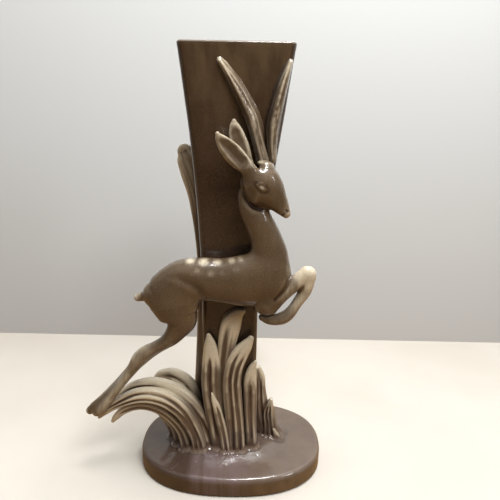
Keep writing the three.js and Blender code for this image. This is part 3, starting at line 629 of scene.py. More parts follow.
# ---------- objects ----------
def make_object(name, points, faces, attributes=None):
    """A smooth mesh object; points are in drawn millimetres. A shader reads a missing attribute as 0."""
    mesh = bpy.data.meshes.new(name)
    mesh.from_pydata((np.asarray(points) * MM).tolist(), [], [list(map(int, face)) for face in faces])
    mesh.update()
    mesh.shade_smooth()
    for key, values in (attributes or {}).items():
        layer = mesh.attributes.new(key, "FLOAT", "POINT")
        layer.data.foreach_set("value", np.asarray(values, np.float32))
    made = bpy.data.objects.new(name, mesh)
    bpy.context.scene.collection.objects.link(made)
    return made


def finish_piece(made, nodes, material, body=BODY):
    made.data.materials.append(material)
    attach(made, body)
    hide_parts(*nodes)


def nearness(distance, reach):
    """1 at the surface, falling to 0 at reach."""
    return np.clip(1 - np.maximum(distance, 0) / reach, 0, 1)


def closeness(points, limbs, reach):
    """The nearness of the nearest of the limbs."""
    nearest = np.full(len(points), reach)
    for limb in limbs:
        low, high = limb.reach(reach)
        picked = np.all((points > low) & (points < high), axis=1)
        if picked.any():
            gap = limb(*points[picked].T)
            nearest[picked] = np.minimum(nearest[picked], gap)
    return nearness(nearest, reach)


def edge_value(points, faces, radius, scale, step):
    """Positive on outer edges and negative in hollows, from -1 to 1, over about radius millimetres."""
    smooth = averaged(points, faces, max(round((radius / step) ** 2), 1))
    normal = face_normals(points, faces)
    return np.clip(((points - smooth) * normal).sum(1) / scale, -1, 1)


GRASS_LIMBS = [limb for limbs in GRASS.values() for limb in limbs]
HORN_LIMBS = [limb for limbs in HORNS.values() for limb in limbs]
EVERY_LIMB = [*GAZELLE, *HORN_LIMBS, *GRASS_LIMBS]
FEATHER = 0.15  # a fillet ends where it stands this far off the column or base
BITE = 0.8  # a piece sinks this far into the column and base


def rooted(field, blend, x, y, z):
    """A member's field with a glaze fillet onto the column and base, cut off just under their surface."""
    stand = stand_distance(x, y, z)
    foot = ease(-z, -TOP - 30, -TOP - 4)
    filleted = smooth_min(field, stand, blend + 3.5 * foot)
    return np.maximum(np.maximum(filleted, filleted + FEATHER - stand), -(stand + BITE))


def flow(points, limbs):
    """Millimetres across and along the nearest limb, for streaks of glaze that follow it."""
    nearest = np.full(len(points), np.inf)
    across = np.zeros(len(points))
    along = np.zeros(len(points))
    for limb in limbs:
        gap = limb(*points.T)
        away, side, place = limb.nearest(points[:, 0], points[:, 2])
        closer = gap < nearest
        nearest[closer] = gap[closer]
        across[closer] = (side * away)[closer]
        along[closer] = (limb.at(place, "share") * limb.length)[closer]
    return across, along


def grid_round(limbs, step, margin=7):
    """The grid of a group of limbs, with their fields joined in it."""
    reaches = [limb.reach(margin) for limb in limbs]
    low = np.min([reach[0] for reach in reaches], axis=0)
    high = np.max([reach[1] for reach in reaches], axis=0)
    low[2] = max(low[2], TOP - 4)
    grid = Grid(low, high, step)
    for limb in limbs:
        grid.blend_in(limb)
    return grid


def sculpt(name, limbs, neighbours, pale, blend=3.0, details=(), step=STEP, seam_gain=1.0, streaked=True):
    """Meshes a group of limbs and measures what the glaze needs to know about each point.

    The seam attribute rises towards the neighbours, the column and the base. A piece that is listed among
    its own neighbours is darkened all over, by as much as seam_gain says.
    """
    grid = grid_round(limbs, step)
    for low, high, change in details:
        grid.edit(low, high, change)
    member = grid.field.copy()
    grid.field = rooted(grid.field, blend, *grid.axes()).astype(np.float32)
    points, faces = biggest(*grid.net())
    points = settle(grid, points, faces)
    edge = edge_value(points, faces, radius=4.2, scale=0.9, step=step)
    fine = edge_value(points, faces, radius=2.0, scale=0.3, step=step)
    grid.field = member
    on_member = 1 - ease(grid.sample(points), 0.2, blend * 0.8)
    # the seam darkens the glaze near the neighbours, the column and the base: pooled glaze and painted shade
    seam = np.maximum(closeness(points, neighbours, 4.0), nearness(stand_distance(*points.T), 5.0))
    attributes = {
        "edge": edge * on_member,
        "fine": fine * on_member,
        "seam": seam * seam_gain,
        "pale": pale(points),
    }
    if streaked:
        attributes["across"], attributes["along"] = flow(points, limbs)
    return make_object(name, points, faces, attributes)


# ---------- details of the gazelle ----------
def blob(centre, radii, tilt=0.0):
    """The field of an ellipsoid whose long axis is turned by tilt degrees in side view."""
    cos, sin = math.cos(math.radians(tilt)), math.sin(math.radians(tilt))

    def field(x, y, z):
        off_x, off_y, off_z = x - centre[0], y - centre[1], z - centre[2]
        along = (off_x * cos + off_z * sin) / radii[0]
        up = (off_z * cos - off_x * sin) / radii[2]
        return (np.sqrt(along**2 + (off_y / radii[1]) ** 2 + up**2) - 1) * min(radii)

    return field


def ridge(y, *stations):
    """A thin raised line through stations of x, z and half width."""
    return Limb(y, *[[x, z, width, 1.3 * width] for x, z, width in stations])


def add(shape, blend):
    return lambda field, x, y, z: smooth_min(field, shape(x, y, z), blend)


def carve(shape, blend):
    return lambda field, x, y, z: -smooth_min(-field, shape(x, y, z), blend)


def softened(field, x, y, z, rounds=8):
    """The field with its creases smoothed out."""
    for axis in range(3):
        lines = np.moveaxis(field, axis, 0).copy()
        for _ in range(rounds):
            lines[1:-1] = (lines[:-2] + 2 * lines[1:-1] + lines[2:]) / 4
        field = np.moveaxis(lines, 0, axis)
    return field


EYE_X, EYE_Z = 27.8, 326.0
FACE = SIDE - 15.4  # depth of the cheek
EYE_BOX = (18, -56, 315), (38, -38, 336)
SLANT = -32  # of the eye, in degrees
SOCKET = blob((EYE_X, FACE - 0.2, EYE_Z), (5.2, 2.2, 3.6), SLANT)
EYEBALL = blob((EYE_X + 0.1, FACE + 1.4, EYE_Z + 0.1), (4.1, 2.6, 2.7), SLANT)
UPPER_LID = ridge(FACE + 0.9, [23.4, 328.6, 0.7], [26.0, 330.2, 0.9], [29.4, 329.0, 0.9], [32.2, 325.2, 0.7])
LOWER_LID = ridge(FACE + 1.1, [23.4, 328.2, 0.6], [25.4, 324.6, 0.7], [28.8, 322.8, 0.7], [32.2, 325.0, 0.6])
JAW = Limb(
    SIDE - 10, [6, 338, 1.2, 3], [8.6, 325, 1.8, 4], [12.6, 315, 2.2, 4.6], [19, 307.5, 2.2, 4.6],
    [27, 304.5, 2, 4],
)
NOSTRIL = blob((51.8, SIDE - 8.0, 303.6), (1.6, 2.0, 0.8), -60)
MOUTH = blob((48.6, SIDE - 8.6, 299.8), (5.0, 2.0, 0.35), 38)
GROIN = Limb(SIDE - 22, [-64, 241, 1, 3], [-48, 236, 3, 4], [-34, 228, 3, 5], [-27, 216, 2.2, 7])
ELBOW = Limb(SIDE - 17.5, [57, 237, 0.8, 4], [52, 226, 1.2, 4.6], [43.5, 216, 0.8, 4])
TUFT = blob((31, SIDE + 3, 346), (8, 8, 4), -10)

# Each detail has the lowest and highest corner of the box it changes, and they are made in this order.
GAZELLE_DETAILS = [
    ((4, -56, 296), (50, -20, 342), softened),
    ((-8, -70, 292), (42, -28, 350), carve(JAW, 2.4)),
    (*EYE_BOX, carve(SOCKET, 1.6)),
    (*EYE_BOX, add(EYEBALL, 0.25)),
    (*EYE_BOX, add(UPPER_LID, 1.0)),
    (*EYE_BOX, add(LOWER_LID, 1.0)),
    ((46, -50, 298), (57, -32, 309), carve(NOSTRIL, 0.8)),
    ((40, -50, 292), (57, -32, 306), carve(MOUTH, 0.8)),
    ((-78, -70, 198), (-12, -36, 256), carve(GROIN, 7.0)),
    ((32, -60, 200), (70, -36, 245), carve(ELBOW, 3.0)),
    ((15, -46, 336), (48, -12, 356), add(TUFT, 4.0)),
]

# Cream spots along the back: x, z, radius and strength.
SPOTS = [
    [-40.7, 254.1, 4.2, 0.76], [-27.6, 253.3, 4.8, 0.8], [-13.8, 252.9, 4.4, 0.62], [-0.1, 255.0, 4.0, 0.5],
    [8.6, 256.6, 3.6, 0.36], [-33, 243, 4.6, 0.3], [-19.5, 241, 5.0, 0.3], [-8, 242, 4.6, 0.22],
    [4.5, 245.5, 5.0, 0.26],
]


BRUSH_SLOPE = 0.36  # the spots are brushed on from the front and above
BRUSH_DEPTH = -46  # depth at which a spot's z is true


def gazelle_pale(points):
    """Cream spots, thin glaze on the knee, shin, shank, hock and ears, and a painted knee highlight; negative
    where darkened.
    """
    x, y, z = points.T
    seen_z = z + BRUSH_SLOPE * (y - BRUSH_DEPTH)
    spots = np.zeros(len(points))
    for spot_x, spot_z, radius, strength in SPOTS:
        away = np.hypot((x - spot_x) / 1.15, (seen_z - spot_z) / 0.95) / radius
        spots = np.maximum(spots, 0.9 * strength * ease(-away, -1.6, 0.0) * (y < SIDE + 6))
    # the knee's cream is thin glaze, and partly a painted highlight
    knee = 0.9 * ease(-np.hypot(x - 78, z - 242), -21, -4)
    shin = 0.3 * ease(-np.hypot(x - 70, z - 222), -30, -10)
    shank = 0.14 * ease(-x, 90, 116)
    hock = 0.17 * ease(-np.hypot(x + 94, z - 150), -24, -6)
    ears = 0.05 * ease(z - 0.8 * x, 332, 352) * (x < 20)
    return np.clip(spots + knee + shin + shank + hock + ears, 0, 1) - 0.6 * gazelle_pools_and_shade(points)


def gazelle_pools_and_shade(points):
    """Darker round the eye, on the thigh and hooves, and painted shade in the creases and under the belly."""
    x, y, z = points.T
    off_x, off_z = x - EYE_X, z - EYE_Z
    from_eye = np.hypot(off_x + 0.55 * off_z, 1.25 * off_z + 0.3 * off_x) / 5.2
    eye = 0.7 * bump(from_eye, 1.0, 0.4) * (y < SIDE - 6)
    # painted shade in the jaw, groin and elbow creases
    creases = np.zeros(len(points))
    for crease, strength, reach in ((JAW, 0.8, 2.6), (GROIN, 0.3, 9), (ELBOW, 0.4, 2.6)):
        creases = np.maximum(creases, strength * ease(-crease(x, y, z), -reach, -0.2))
    # painted shade under the belly
    belly = 0.5 * ease(-z, -214, -205) * bump(x, -2, 26) * (y < SIDE + 8)
    thigh = 0.28 * ease(-np.hypot((x + 60) / 1.1, z - 192), -17, -6)
    fore_hoof = 0.9 * ease(-x, -41, -33) * (z < 197) * (x > 20)
    hind_hoof = 0.45 * ease(-x, 140, 148)
    return np.clip(np.maximum.reduce([eye, creases, belly, thigh, fore_hoof, hind_hoof]), 0, 1)


def blade_pale(limb, strength, start=0.7, crest=None):
    """Cream towards the tip, and over the crest of an arched blade."""

    def pale(points):
        x, _, z = points.T
        _, _, place = limb.nearest(x, z)
        along = limb.at(place, "share")
        tip = strength * ease(along, start, 0.97)
        if crest:
            tip = np.maximum(tip, 0.85 * bump(along, crest, 0.15))
        return tip

    return pale


# ---------- the column ----------
def ring_points(z, grow, per_corner=8, per_side=24):
    """A level ring of the column's outside, moved outwards by grow."""
    left, right, front, back = (float(side) for side in column_sides(z))
    radius = max(CORNER + grow, 1.5)
    inset = radius - grow
    corners = [
        (right - inset, back - inset, 0), (left + inset, back - inset, 90),
        (left + inset, front + inset, 180), (right - inset, front + inset, 270),
    ]
    arcs = []
    for x, y, start in corners:
        turns = np.radians(start + np.linspace(0, 90, per_corner))
        arcs.append(np.column_stack([x + radius * np.cos(turns), y + radius * np.sin(turns)]))
    ring = []
    for here, there in zip(arcs, arcs[1:] + arcs[:1]):
        share = np.linspace(0, 1, per_side + 2)[1:-1, None]
        ring += [here, here[-1] + share * (there[0] - here[-1])]
    flat = np.vstack(ring)
    return np.column_stack([flat, np.full(len(flat), z)])


def ring_faces(rings, count, closed):
    faces = []
    for ring in range(rings if closed else rings - 1):
        after = (ring + 1) % rings
        for i in range(count):
            j = (i + 1) % count
            faces.append([ring * count + i, ring * count + j, after * count + j, after * count + i])
    return np.array(faces)


def column_mesh():
    """Up the outside, over the rounded rim and down the inside, with a faint unevenness."""
    foot = TOP - 1.0
    steps = 150
    rim = WALL / 2
    heights = np.linspace(foot, RIM - rim, steps)
    rings = [ring_points(z, 0) for z in heights]
    for turn in np.radians([15, 30, 50, 70, 90, 110, 130, 150, 165]):
        ring = ring_points(RIM - rim, rim * math.cos(turn) - rim)
        ring[:, 2] += rim * math.sin(turn)
        rings.append(ring)
    rings += [ring_points(z, -WALL) for z in heights[::-1]]
    points = np.vstack(rings)
    faces = ring_faces(len(rings), len(rings[0]), closed=True)
    x, y, z = points.T
    wave = 0.16 * np.sin(x / 13 + z / 61) * np.sin(z / 37 + 1) + 0.08 * np.sin(x / 5.5 + z / 90 + 2)
    points = points + wave[:, None] * face_normals(points, faces) * (z < RIM - 6)[:, None]
    return points, faces


def column_edge(points):
    """How near the glaze is to breaking over the column's upright edges and its rim."""
    x, y, z = points.T
    left, right, front, back = column_sides(z)
    off_side = np.minimum(np.abs(x - left), np.abs(right - x))
    off_face = np.minimum(np.abs(y - front), np.abs(back - y))
    upright = ease(-np.hypot(off_side, off_face), -CORNER, -0.4 * CORNER)
    rim = ease(z, RIM - 3.2, RIM - 1)
    return np.maximum(0.6 * upright, 0.85 * rim)


def build_column():
    points, faces = column_mesh()
    # painted shade, with pooled glaze, on the column near the members and the base
    seam = np.maximum(closeness(points, EVERY_LIMB, 7.0), nearness(points[:, 2] - TOP, 6.0))
    return make_object("column", points, faces, {"edge": column_edge(points), "seam": seam})


# ---------- the base ----------
def base_field(x, y, z):
    """The base with its mound round the column, its hollow and the holes for the pipe and the cord."""
    solid = np.maximum(base_top_distance(x, y, z), FOOT - z)
    mound = np.maximum(column_distance(x, y, z) - 1.0, z - TOP - 5)
    solid = smooth_min(solid, mound, 12.0)
    skirt, roof = 8.0, 6.0
    cavity = np.maximum(base_distance(x, y, np.float32(FOOT)) + skirt, z - TOP + roof)
    solid = -smooth_min(-solid, cavity, 2.0)
    pipe, pipe_radius = middle_of("lamp_pipe"), half_width("lamp_pipe")
    pipe_hole = np.hypot(x - pipe[0], y - pipe[1]) - pipe_radius - 0.4
    bush, bush_radius = middle_of("cord_bushing"), half_width("cord_bushing")
    bush_front = box_mm("cord_bushing")[0][1]
    cord_hole = np.hypot(x - bush[0], z - bush[2]) - bush_radius + 1.3
    cord_hole = np.maximum(cord_hole, bush_front - 6 - y)
    return np.maximum(np.maximum(solid, -pipe_hole), -cord_hole)


def build_base():
    margin = 3
    low = [-HALF_LENGTH - margin, -HALF_DEPTH - margin, FOOT - margin]
    high = [HALF_LENGTH + margin, HALF_DEPTH + margin, TOP + 9]
    grid = Grid(low, high, STEP * 1.15)
    grid.field = base_field(*grid.axes()).astype(np.float32)
    points, faces = biggest(*grid.net())
    points = settle(grid, points, faces)
    x, y, z = points.T
    wave = 0.1 * np.sin(x / 11 + 1) * np.sin(y / 9) + 0.06 * np.sin(x / 4.5 + y / 7)
    points[:, 2] += wave * (z > TOP - 2)
    # painted shade, with pooled glaze, on the base near the column and the grass's feet
    column_seam = nearness(column_distance(x, y, z), 8.0) * (z > TOP - 2)
    seam = np.maximum(closeness(points, GRASS_LIMBS, 9.0), column_seam)
    edge = edge_value(points, faces, radius=4.2, scale=1.2, step=grid.step)
    return make_object("plinth", points, faces, {"edge": edge, "seam": seam})


# ---------- materials ----------
def colour(red, green, blue):
    """A display colour from 0 to 255, as the renderer's linear values."""

    def linear(value):
        share = value / 255
        return share / 12.92 if share < 0.04045 else ((share + 0.055) / 1.055) ** 2.4

    return (linear(red), linear(green), linear(blue), 1.0)


class Shader:
    """The node tree of a material or of the world. Most calls add a node and return its output."""

    def __init__(self, owner):
        owner.use_nodes = True
        self.owner = owner
        self.tree = owner.node_tree
        self.tree.nodes.clear()
        self.coordinates = self.node("TexCoord").outputs["Object"]
        self.spot = self.coordinates  # noise may follow other coordinates, but place() keeps to these

    def node(self, kind, inputs=None, **settings):
        made = self.tree.nodes.new("ShaderNode" + kind)
        for key, value in settings.items():
            setattr(made, key, value)
        for key, value in (inputs or {}).items():
            if isinstance(value, bpy.types.NodeSocket):
                self.tree.links.new(value, made.inputs[key])
            else:
                made.inputs[key].default_value = value
        return made

    def math(self, operation, a, b):
        return self.node("Math", {0: a, 1: b}, operation=operation).outputs[0]

    def plus(self, a, b):
        return self.math("ADD", a, b)

    def times(self, a, b):
        return self.math("MULTIPLY", a, b)

    def span(self, value, low, high, to_low=0.0, to_high=1.0):
        """Maps low..high onto to_low..to_high with soft ends."""
        inputs = {0: value, 1: low, 2: high, 3: to_low, 4: to_high}
        return self.node("MapRange", inputs, interpolation_type="SMOOTHSTEP").outputs[0]

    def mix(self, share, a, b):
        return self.node("Mix", {0: share, 6: a, 7: b}, data_type="RGBA").outputs[2]

    def noise(self, scale, detail=3.0, stretch=(1, 1, 1), shift=(0, 0, 0), roughness=0.5):
        """Noise whose scale is in cells per metre along each axis."""
        mapping = self.node("Mapping", {0: self.coordinates, 1: shift, 3: [scale * s for s in stretch]})
        inputs = {"Vector": mapping.outputs[0], "Scale": 1.0, "Detail": detail, "Roughness": roughness}
        return self.node("TexNoise", inputs).outputs[0]

    def attribute(self, name):
        return self.node("Attribute", attribute_name=name).outputs["Fac"]

    def place(self):
        """The point's x, y and z in metres, or the direction's in the world."""
        return self.node("SeparateXYZ", {0: self.spot}).outputs

    def bump(self, height, distance):
        return self.node("Bump", {"Height": height, "Distance": distance, "Strength": 1.0}).outputs[0]

    def surface(self, **inputs):
        named = {key.replace("_", " "): value for key, value in inputs.items()}
        shader = self.node("BsdfPrincipled", named)
        self.node("OutputMaterial", {0: shader.outputs[0]})
        return self.owner


THICK_COLUMN = colour(50, 28, 16)
THICK_ANIMAL = colour(90, 71, 50)
THICK_GRASS = colour(127, 104, 87)
THICK_BASE = colour(100, 83, 71)
# dark glaze colours for pools, also used as painted shade near seams and down the horns' left sides
POOL_AND_SHADE = colour(26, 14, 9)
MAUVE_POOL_AND_SHADE = colour(62, 44, 40)
CREAM = colour(226, 212, 184)
LAVENDER = colour(112, 94, 94)


def follow_member(s):
    """Turns the streaks to run along the member, on a piece that knows its own across and along."""
    across = s.times(s.attribute("across"), MM)
    along = s.times(s.attribute("along"), MM)
    s.coordinates = s.node("CombineXYZ", {0: across, 1: s.place()[1], 2: along}).outputs[0]


def thinness(s, streaks, edge_gain, streak_gain):
    """How thin the glaze lies: thin on edges and pale places, thick in hollows, and uneven in streaks."""
    edge = s.times(s.attribute("edge"), edge_gain)
    fine = s.times(s.attribute("fine"), edge_gain * 0.5)
    uneven = s.times(s.math("SUBTRACT", streaks, 0.5), streak_gain)
    pale = s.times(s.attribute("pale"), s.span(streaks, 0.25, 0.62, 0.7, 1.05))
    return s.plus(s.plus(s.plus(edge, fine), uneven), pale)


def glaze(name, thick, pool_and_shade, edge_gain=0.4, streak_gain=0.1, extra=None, coat=1.5, follows=False):
    """A dipped art glaze: it runs thin and cream over edges, and pools dark in the hollows.

    extra(shader, tint, streaks) adds a piece's own tints, and coat is the glossy layer's refractive index.
    """
    s = Shader(bpy.data.materials.new(name))
    if follows:
        follow_member(s)
    streaks = s.noise(330, 4, stretch=(1, 1, 0.045))
    broad = s.noise(60, 3, stretch=(1, 1, 0.2), shift=(5, 1, 2))
    mottle = s.noise(900, 4, roughness=0.65)
    thin = thinness(s, streaks, edge_gain, streak_gain)
    body = s.mix(s.span(broad, 0.3, 0.7), thick, s.mix(0.3, thick, pool_and_shade))
    body = s.mix(s.span(mottle, 0.35, 0.75, 0.0, 0.16), body, s.mix(0.4, thick, CREAM))
    # painted shade, together with pooled glaze, near the seams
    seam_pool_and_shade = s.span(s.attribute("seam"), 0.25, 1.0, 0.0, 0.85)
    tint = s.mix(s.math("MAXIMUM", s.span(thin, -0.04, -0.6), seam_pool_and_shade), body, pool_and_shade)
    cream = s.mix(s.span(mottle, 0.3, 0.7), CREAM, s.mix(0.3, CREAM, thick))
    tint = s.mix(s.span(thin, 0.1, 0.92, 0.0, 0.95), tint, cream)
    if extra:
        tint = extra(s, tint, streaks)
    specks = s.span(s.noise(1400, 1, shift=(9, 3, 4)), 0.79, 0.83)
    tint = s.mix(s.times(specks, 0.5), tint, pool_and_shade)
    swell, peel = s.noise(45, 2), s.noise(420, 2)
    height = s.plus(swell, s.times(peel, 0.07))
    height = s.math("SUBTRACT", height, s.times(specks, 0.12))
    normal = s.bump(height, 0.0009)
    return s.surface(
        Base_Color=tint,
        Roughness=s.span(mottle, 0.3, 0.7, 0.28, 0.4),
        Normal=normal,
        Coat_Weight=1.0,
        Coat_Roughness=0.045,
        Coat_IOR=coat,
        Coat_Normal=normal,
    )


def column_tints(s, tint, streaks):
    """Olive near the rim, partly a painted reflection of the bright ceiling, chocolate lower down, with faint
    upright streaks.
    """
    _, _, z = s.place()
    height = s.span(z, 315 * MM, 450 * MM)
    cloud = s.noise(70, 4, stretch=(1, 1, 0.3), shift=(3, 7, 1))
    # lighter near the rim: the glaze's own colour and partly a painted reflection of the bright ceiling
    olive_and_painted_light = s.mix(s.span(cloud, 0.35, 0.65), colour(100, 81, 58), colour(78, 60, 41))
    middle = s.times(height, s.span(s.attribute("edge"), 0.5, 0.1))
    return s.mix(s.times(middle, 0.8), tint, olive_and_painted_light)


def feet_tints(s, tint, streaks):
    """The blades' feet take the base's colour where the glaze pools."""
    _, _, z = s.place()
    low = s.span(z, (TOP + 9) * MM, (TOP + 1) * MM)
    pooled = s.mix(s.span(streaks, 0.4, 0.7), THICK_BASE, MAUVE_POOL_AND_SHADE)
    return s.mix(s.times(low, 0.85), tint, pooled)


def horn_tints(s, tint, streaks):
    """Cream patches along the middle, partly a painted highlight on the crest, and a dark line of painted
    shade down the left side.
    """
    across = s.attribute("across")
    patches = s.noise(150, 3, stretch=(1, 1, 0.5), shift=(2, 8, 5))
    middle = s.times(s.span(across, -3.5, -0.5), s.span(across, 5.0, 2.5))
    # cream along the crest: glaze patches and partly a painted highlight
    tint = s.mix(s.times(middle, s.span(patches, 0.45, 0.7, 0.0, 0.5)), tint, CREAM)
    # a dark line of painted shade down the horn's left side
    return s.mix(s.span(across, -0.5, -4.0, 0.0, 0.85), tint, POOL_AND_SHADE)


def base_tints(s, tint, streaks):
    """A painted dark reflection on the left, lavender runs from the blades' feet over the front edge, and a
    warmer side, darkened as painted shade.
    """
    x, y, z = s.place()
    left = s.span(x, -5 * MM, -50 * MM)
    # painted dark reflection over the left of the base
    tint = s.mix(s.times(left, 0.8), tint, colour(60, 43, 34))
    runs = s.noise(260, 3, stretch=(1, 0.06, 0.06))
    front = s.times(s.span(y, -16 * MM, -32 * MM), s.span(x, -46 * MM, -37 * MM))
    front = s.times(front, s.span(x, 34 * MM, 4 * MM))
    front = s.times(front, s.span(runs, 0.32, 0.62, 0.2, 0.95))
    tint = s.mix(s.times(front, 0.75), tint, LAVENDER)
    # painted shade: the side is darker and warmer than the top, darkest on the left
    side = s.span(z, (TOP - 3) * MM, (TOP - 9) * MM)
    side = s.times(side, s.math("SUBTRACT", 0.9, s.times(front, 0.6)))
    olive_and_painted_light = s.mix(s.span(x, -30 * MM, 70 * MM), colour(80, 60, 40), colour(118, 95, 68))
    cloud = s.span(s.noise(90, 4, stretch=(1, 1, 0.5), shift=(4, 2, 6)), 0.3, 0.7, 0.0, 0.5)
    return s.mix(side, tint, s.mix(cloud, olive_and_painted_light, colour(62, 44, 30)))


def dimmed(tint, share):
    return (*[channel * share for channel in tint[:3]], 1.0)


def plastic(name, tint, roughness):
    s = Shader(bpy.data.materials.new(name))
    cloud = s.noise(120, 3)
    fine = s.noise(3500, 2)
    shade = s.mix(s.span(cloud, 0.3, 0.7, 0.0, 0.6), tint, dimmed(tint, 0.62))
    return s.surface(
        Base_Color=shade,
        Roughness=s.span(cloud, 0.3, 0.7, roughness * 0.85, roughness * 1.25),
        Normal=s.bump(fine, 0.00004),
        Coat_Weight=0.2,
        Coat_Roughness=0.2,
    )


def metal(name, tint, roughness):
    s = Shader(bpy.data.materials.new(name))
    cloud = s.noise(180, 4)
    scratches = s.noise(900, 3, stretch=(1, 1, 0.05))
    shade = s.mix(s.span(cloud, 0.4, 0.75, 0.0, 0.55), tint, dimmed(tint, 0.45))
    return s.surface(
        Base_Color=shade,
        Metallic=1.0,
        Roughness=s.span(scratches, 0.3, 0.7, roughness * 0.7, roughness * 1.4),
        Normal=s.bump(scratches, 0.00003),
    )


def matte(name, tint, scale=900, depth=0.0003):
    s = Shader(bpy.data.materials.new(name))
    fibres = s.noise(scale, 5, roughness=0.7)
    cloud = s.noise(70, 2)
    darker = dimmed(tint, 0.5)
    shade = s.mix(s.span(fibres, 0.3, 0.7), tint, darker)
    shade = s.mix(s.span(cloud, 0.3, 0.7, 0.0, 0.3), shade, darker)
    return s.surface(Base_Color=shade, Roughness=0.92, Normal=s.bump(fibres, depth))


def frosted_glass(name):
    s = Shader(bpy.data.materials.new(name))
    grain = s.noise(2200, 3)
    cloud = s.noise(90, 2)
    shade = s.mix(s.span(cloud, 0.3, 0.7), colour(240, 237, 228), colour(228, 224, 214))
    return s.surface(
        Base_Color=shade,
        Roughness=s.span(grain, 0.3, 0.7, 0.3, 0.45),
        Normal=s.bump(grain, 0.00002),
        Subsurface_Weight=0.25,
        Subsurface_Radius=(0.004, 0.004, 0.003),
        Coat_Weight=0.4,
        Coat_Roughness=0.15,
    )


GLAZE_COLUMN = glaze(
    "glaze_column", THICK_COLUMN, POOL_AND_SHADE, streak_gain=0.08, extra=column_tints, coat=1.4,
)
GLAZE_BASE = glaze("glaze_base", THICK_BASE, MAUVE_POOL_AND_SHADE, extra=base_tints)
GLAZE_ANIMAL = glaze(
    "glaze_animal", THICK_ANIMAL, colour(40, 25, 15), edge_gain=0.36, streak_gain=0.22, coat=1.48,
)
GLAZE_HORN = glaze(
    "glaze_horn", colour(94, 75, 56), POOL_AND_SHADE, edge_gain=0.34, streak_gain=0.8, extra=horn_tints, follows=True,
)
GLAZE_GRASS = glaze(
    "glaze_grass", THICK_GRASS, colour(44, 28, 20), edge_gain=0.46, streak_gain=0.65, extra=feet_tints,
    follows=True,
)

BRASS = metal("brass", colour(196, 158, 88), 0.32)
STEEL = metal("steel", colour(172, 172, 170), 0.36)
TUNGSTEN = metal("tungsten", colour(110, 110, 114), 0.5)
FELT = matte("felt", colour(66, 78, 58))
CARD = matte("card", colour(168, 146, 112), 500, 0.0001)
PAPER = matte("paper", colour(58, 58, 60), 700, 0.00008)
RUBBER = matte("rubber", colour(42, 40, 38), 1200, 0.00005)
PHENOLIC = plastic("phenolic", colour(44, 34, 30), 0.28)
BROWN = plastic("brown_plastic", colour(84, 54, 38), 0.36)
FROSTED = frosted_glass("frosted_glass")

# ---------- the ceramic ----------
figure = sculpt(
    "gazelle_figure", GAZELLE, [*HORN_LIMBS, *GRASS_LIMBS], gazelle_pale,
    details=GAZELLE_DETAILS, step=1.08 * STEP, streaked=False,
)
finish_piece(figure, GAZELLE_NODES, GLAZE_ANIMAL)

for name, limbs in HORNS.items():
    pale = blade_pale(limbs[0], 0.3, start=0.5)
    horn = sculpt("carved_" + name, limbs, EVERY_LIMB, pale, blend=4.5, seam_gain=0.35)
    finish_piece(horn, [name], GLAZE_HORN)

CRESTS = {"arched_blade_main": 0.6, "arched_blade_middle": 0.62, "arched_blade_back": 0.7}
for name, limbs in GRASS.items():
    tip = 1.35 if name.startswith(("front_blade", "low")) else 0.5
    pale = blade_pale(limbs[0], tip, crest=CRESTS.get(name))
    modelled = sculpt("modelled_" + name, limbs, EVERY_LIMB, pale, seam_gain=0.7)
    finish_piece(modelled, [name], GLAZE_GRASS)

finish_piece(build_column(), ["flared_column"], GLAZE_COLUMN)
finish_piece(build_base(), ["base_plinth"], GLAZE_BASE)


# ---------- bulb and cords ----------
def skin(name, rings, loop=False):
    """A closed mesh through rings of equal length: a loop of rings, or a run with a flat cap at each end."""
    count = len(rings[0])
    points = np.vstack(rings)
    faces = ring_faces(len(rings), count, closed=loop)
    if not loop:
        strip = np.array([[i, i + 1, count - 2 - i, count - 1 - i] for i in range(count // 2 - 1)])
        faces = np.vstack([faces, strip[:, ::-1], strip + (len(rings) - 1) * count])
    a, b, c, d = (points[faces[:, i]] for i in range(4))
    middle = points.mean(axis=0)
    volume = (np.cross(c - a, d - b) * ((a + b + c + d) / 4 - middle)).sum()
    if volume < 0:
        faces = faces[:, ::-1]
    return make_object(name, points, faces)


TURNS = np.linspace(0, 2 * np.pi, 64, endpoint=False)


def turned(name, profile, centre, loop=False):
    """A profile of radius and height turned round an upright axis; a radius may vary with the angle."""
    rings = []
    for radius, z in profile:
        radii = radius * np.ones(len(TURNS))
        x, y = centre[0] + radii * np.cos(TURNS), centre[1] + radii * np.sin(TURNS)
        rings.append(np.column_stack([x, y, np.full(len(TURNS), z)]))
    return skin(name, rings, loop)


def build_bulb_glass():
    low, high = box_mm("bulb_glass")
    radius = half_width("bulb_glass")
    neck = half_width("bulb_cap") - 1.2
    neck_end, shoulder = low[2] + 16, low[2] + 32
    wall = 0.8

    def outline(inset):
        points = [(neck - inset, low[2]), (neck - inset, neck_end - 4)]
        for share in np.linspace(0, 1, 9):
            swelling = neck + (radius - neck) * ease(share, 0, 1)
            points.append((swelling - inset, neck_end + share * (shoulder - neck_end)))
        for angle in np.radians(np.linspace(0, 89.7, 22)):
            dome = radius - inset
            points.append((dome * math.cos(angle), high[2] - radius + dome * math.sin(angle)))
        return points

    return turned("bulb_envelope", outline(wall)[::-1] + outline(0), middle_of("bulb_glass"))


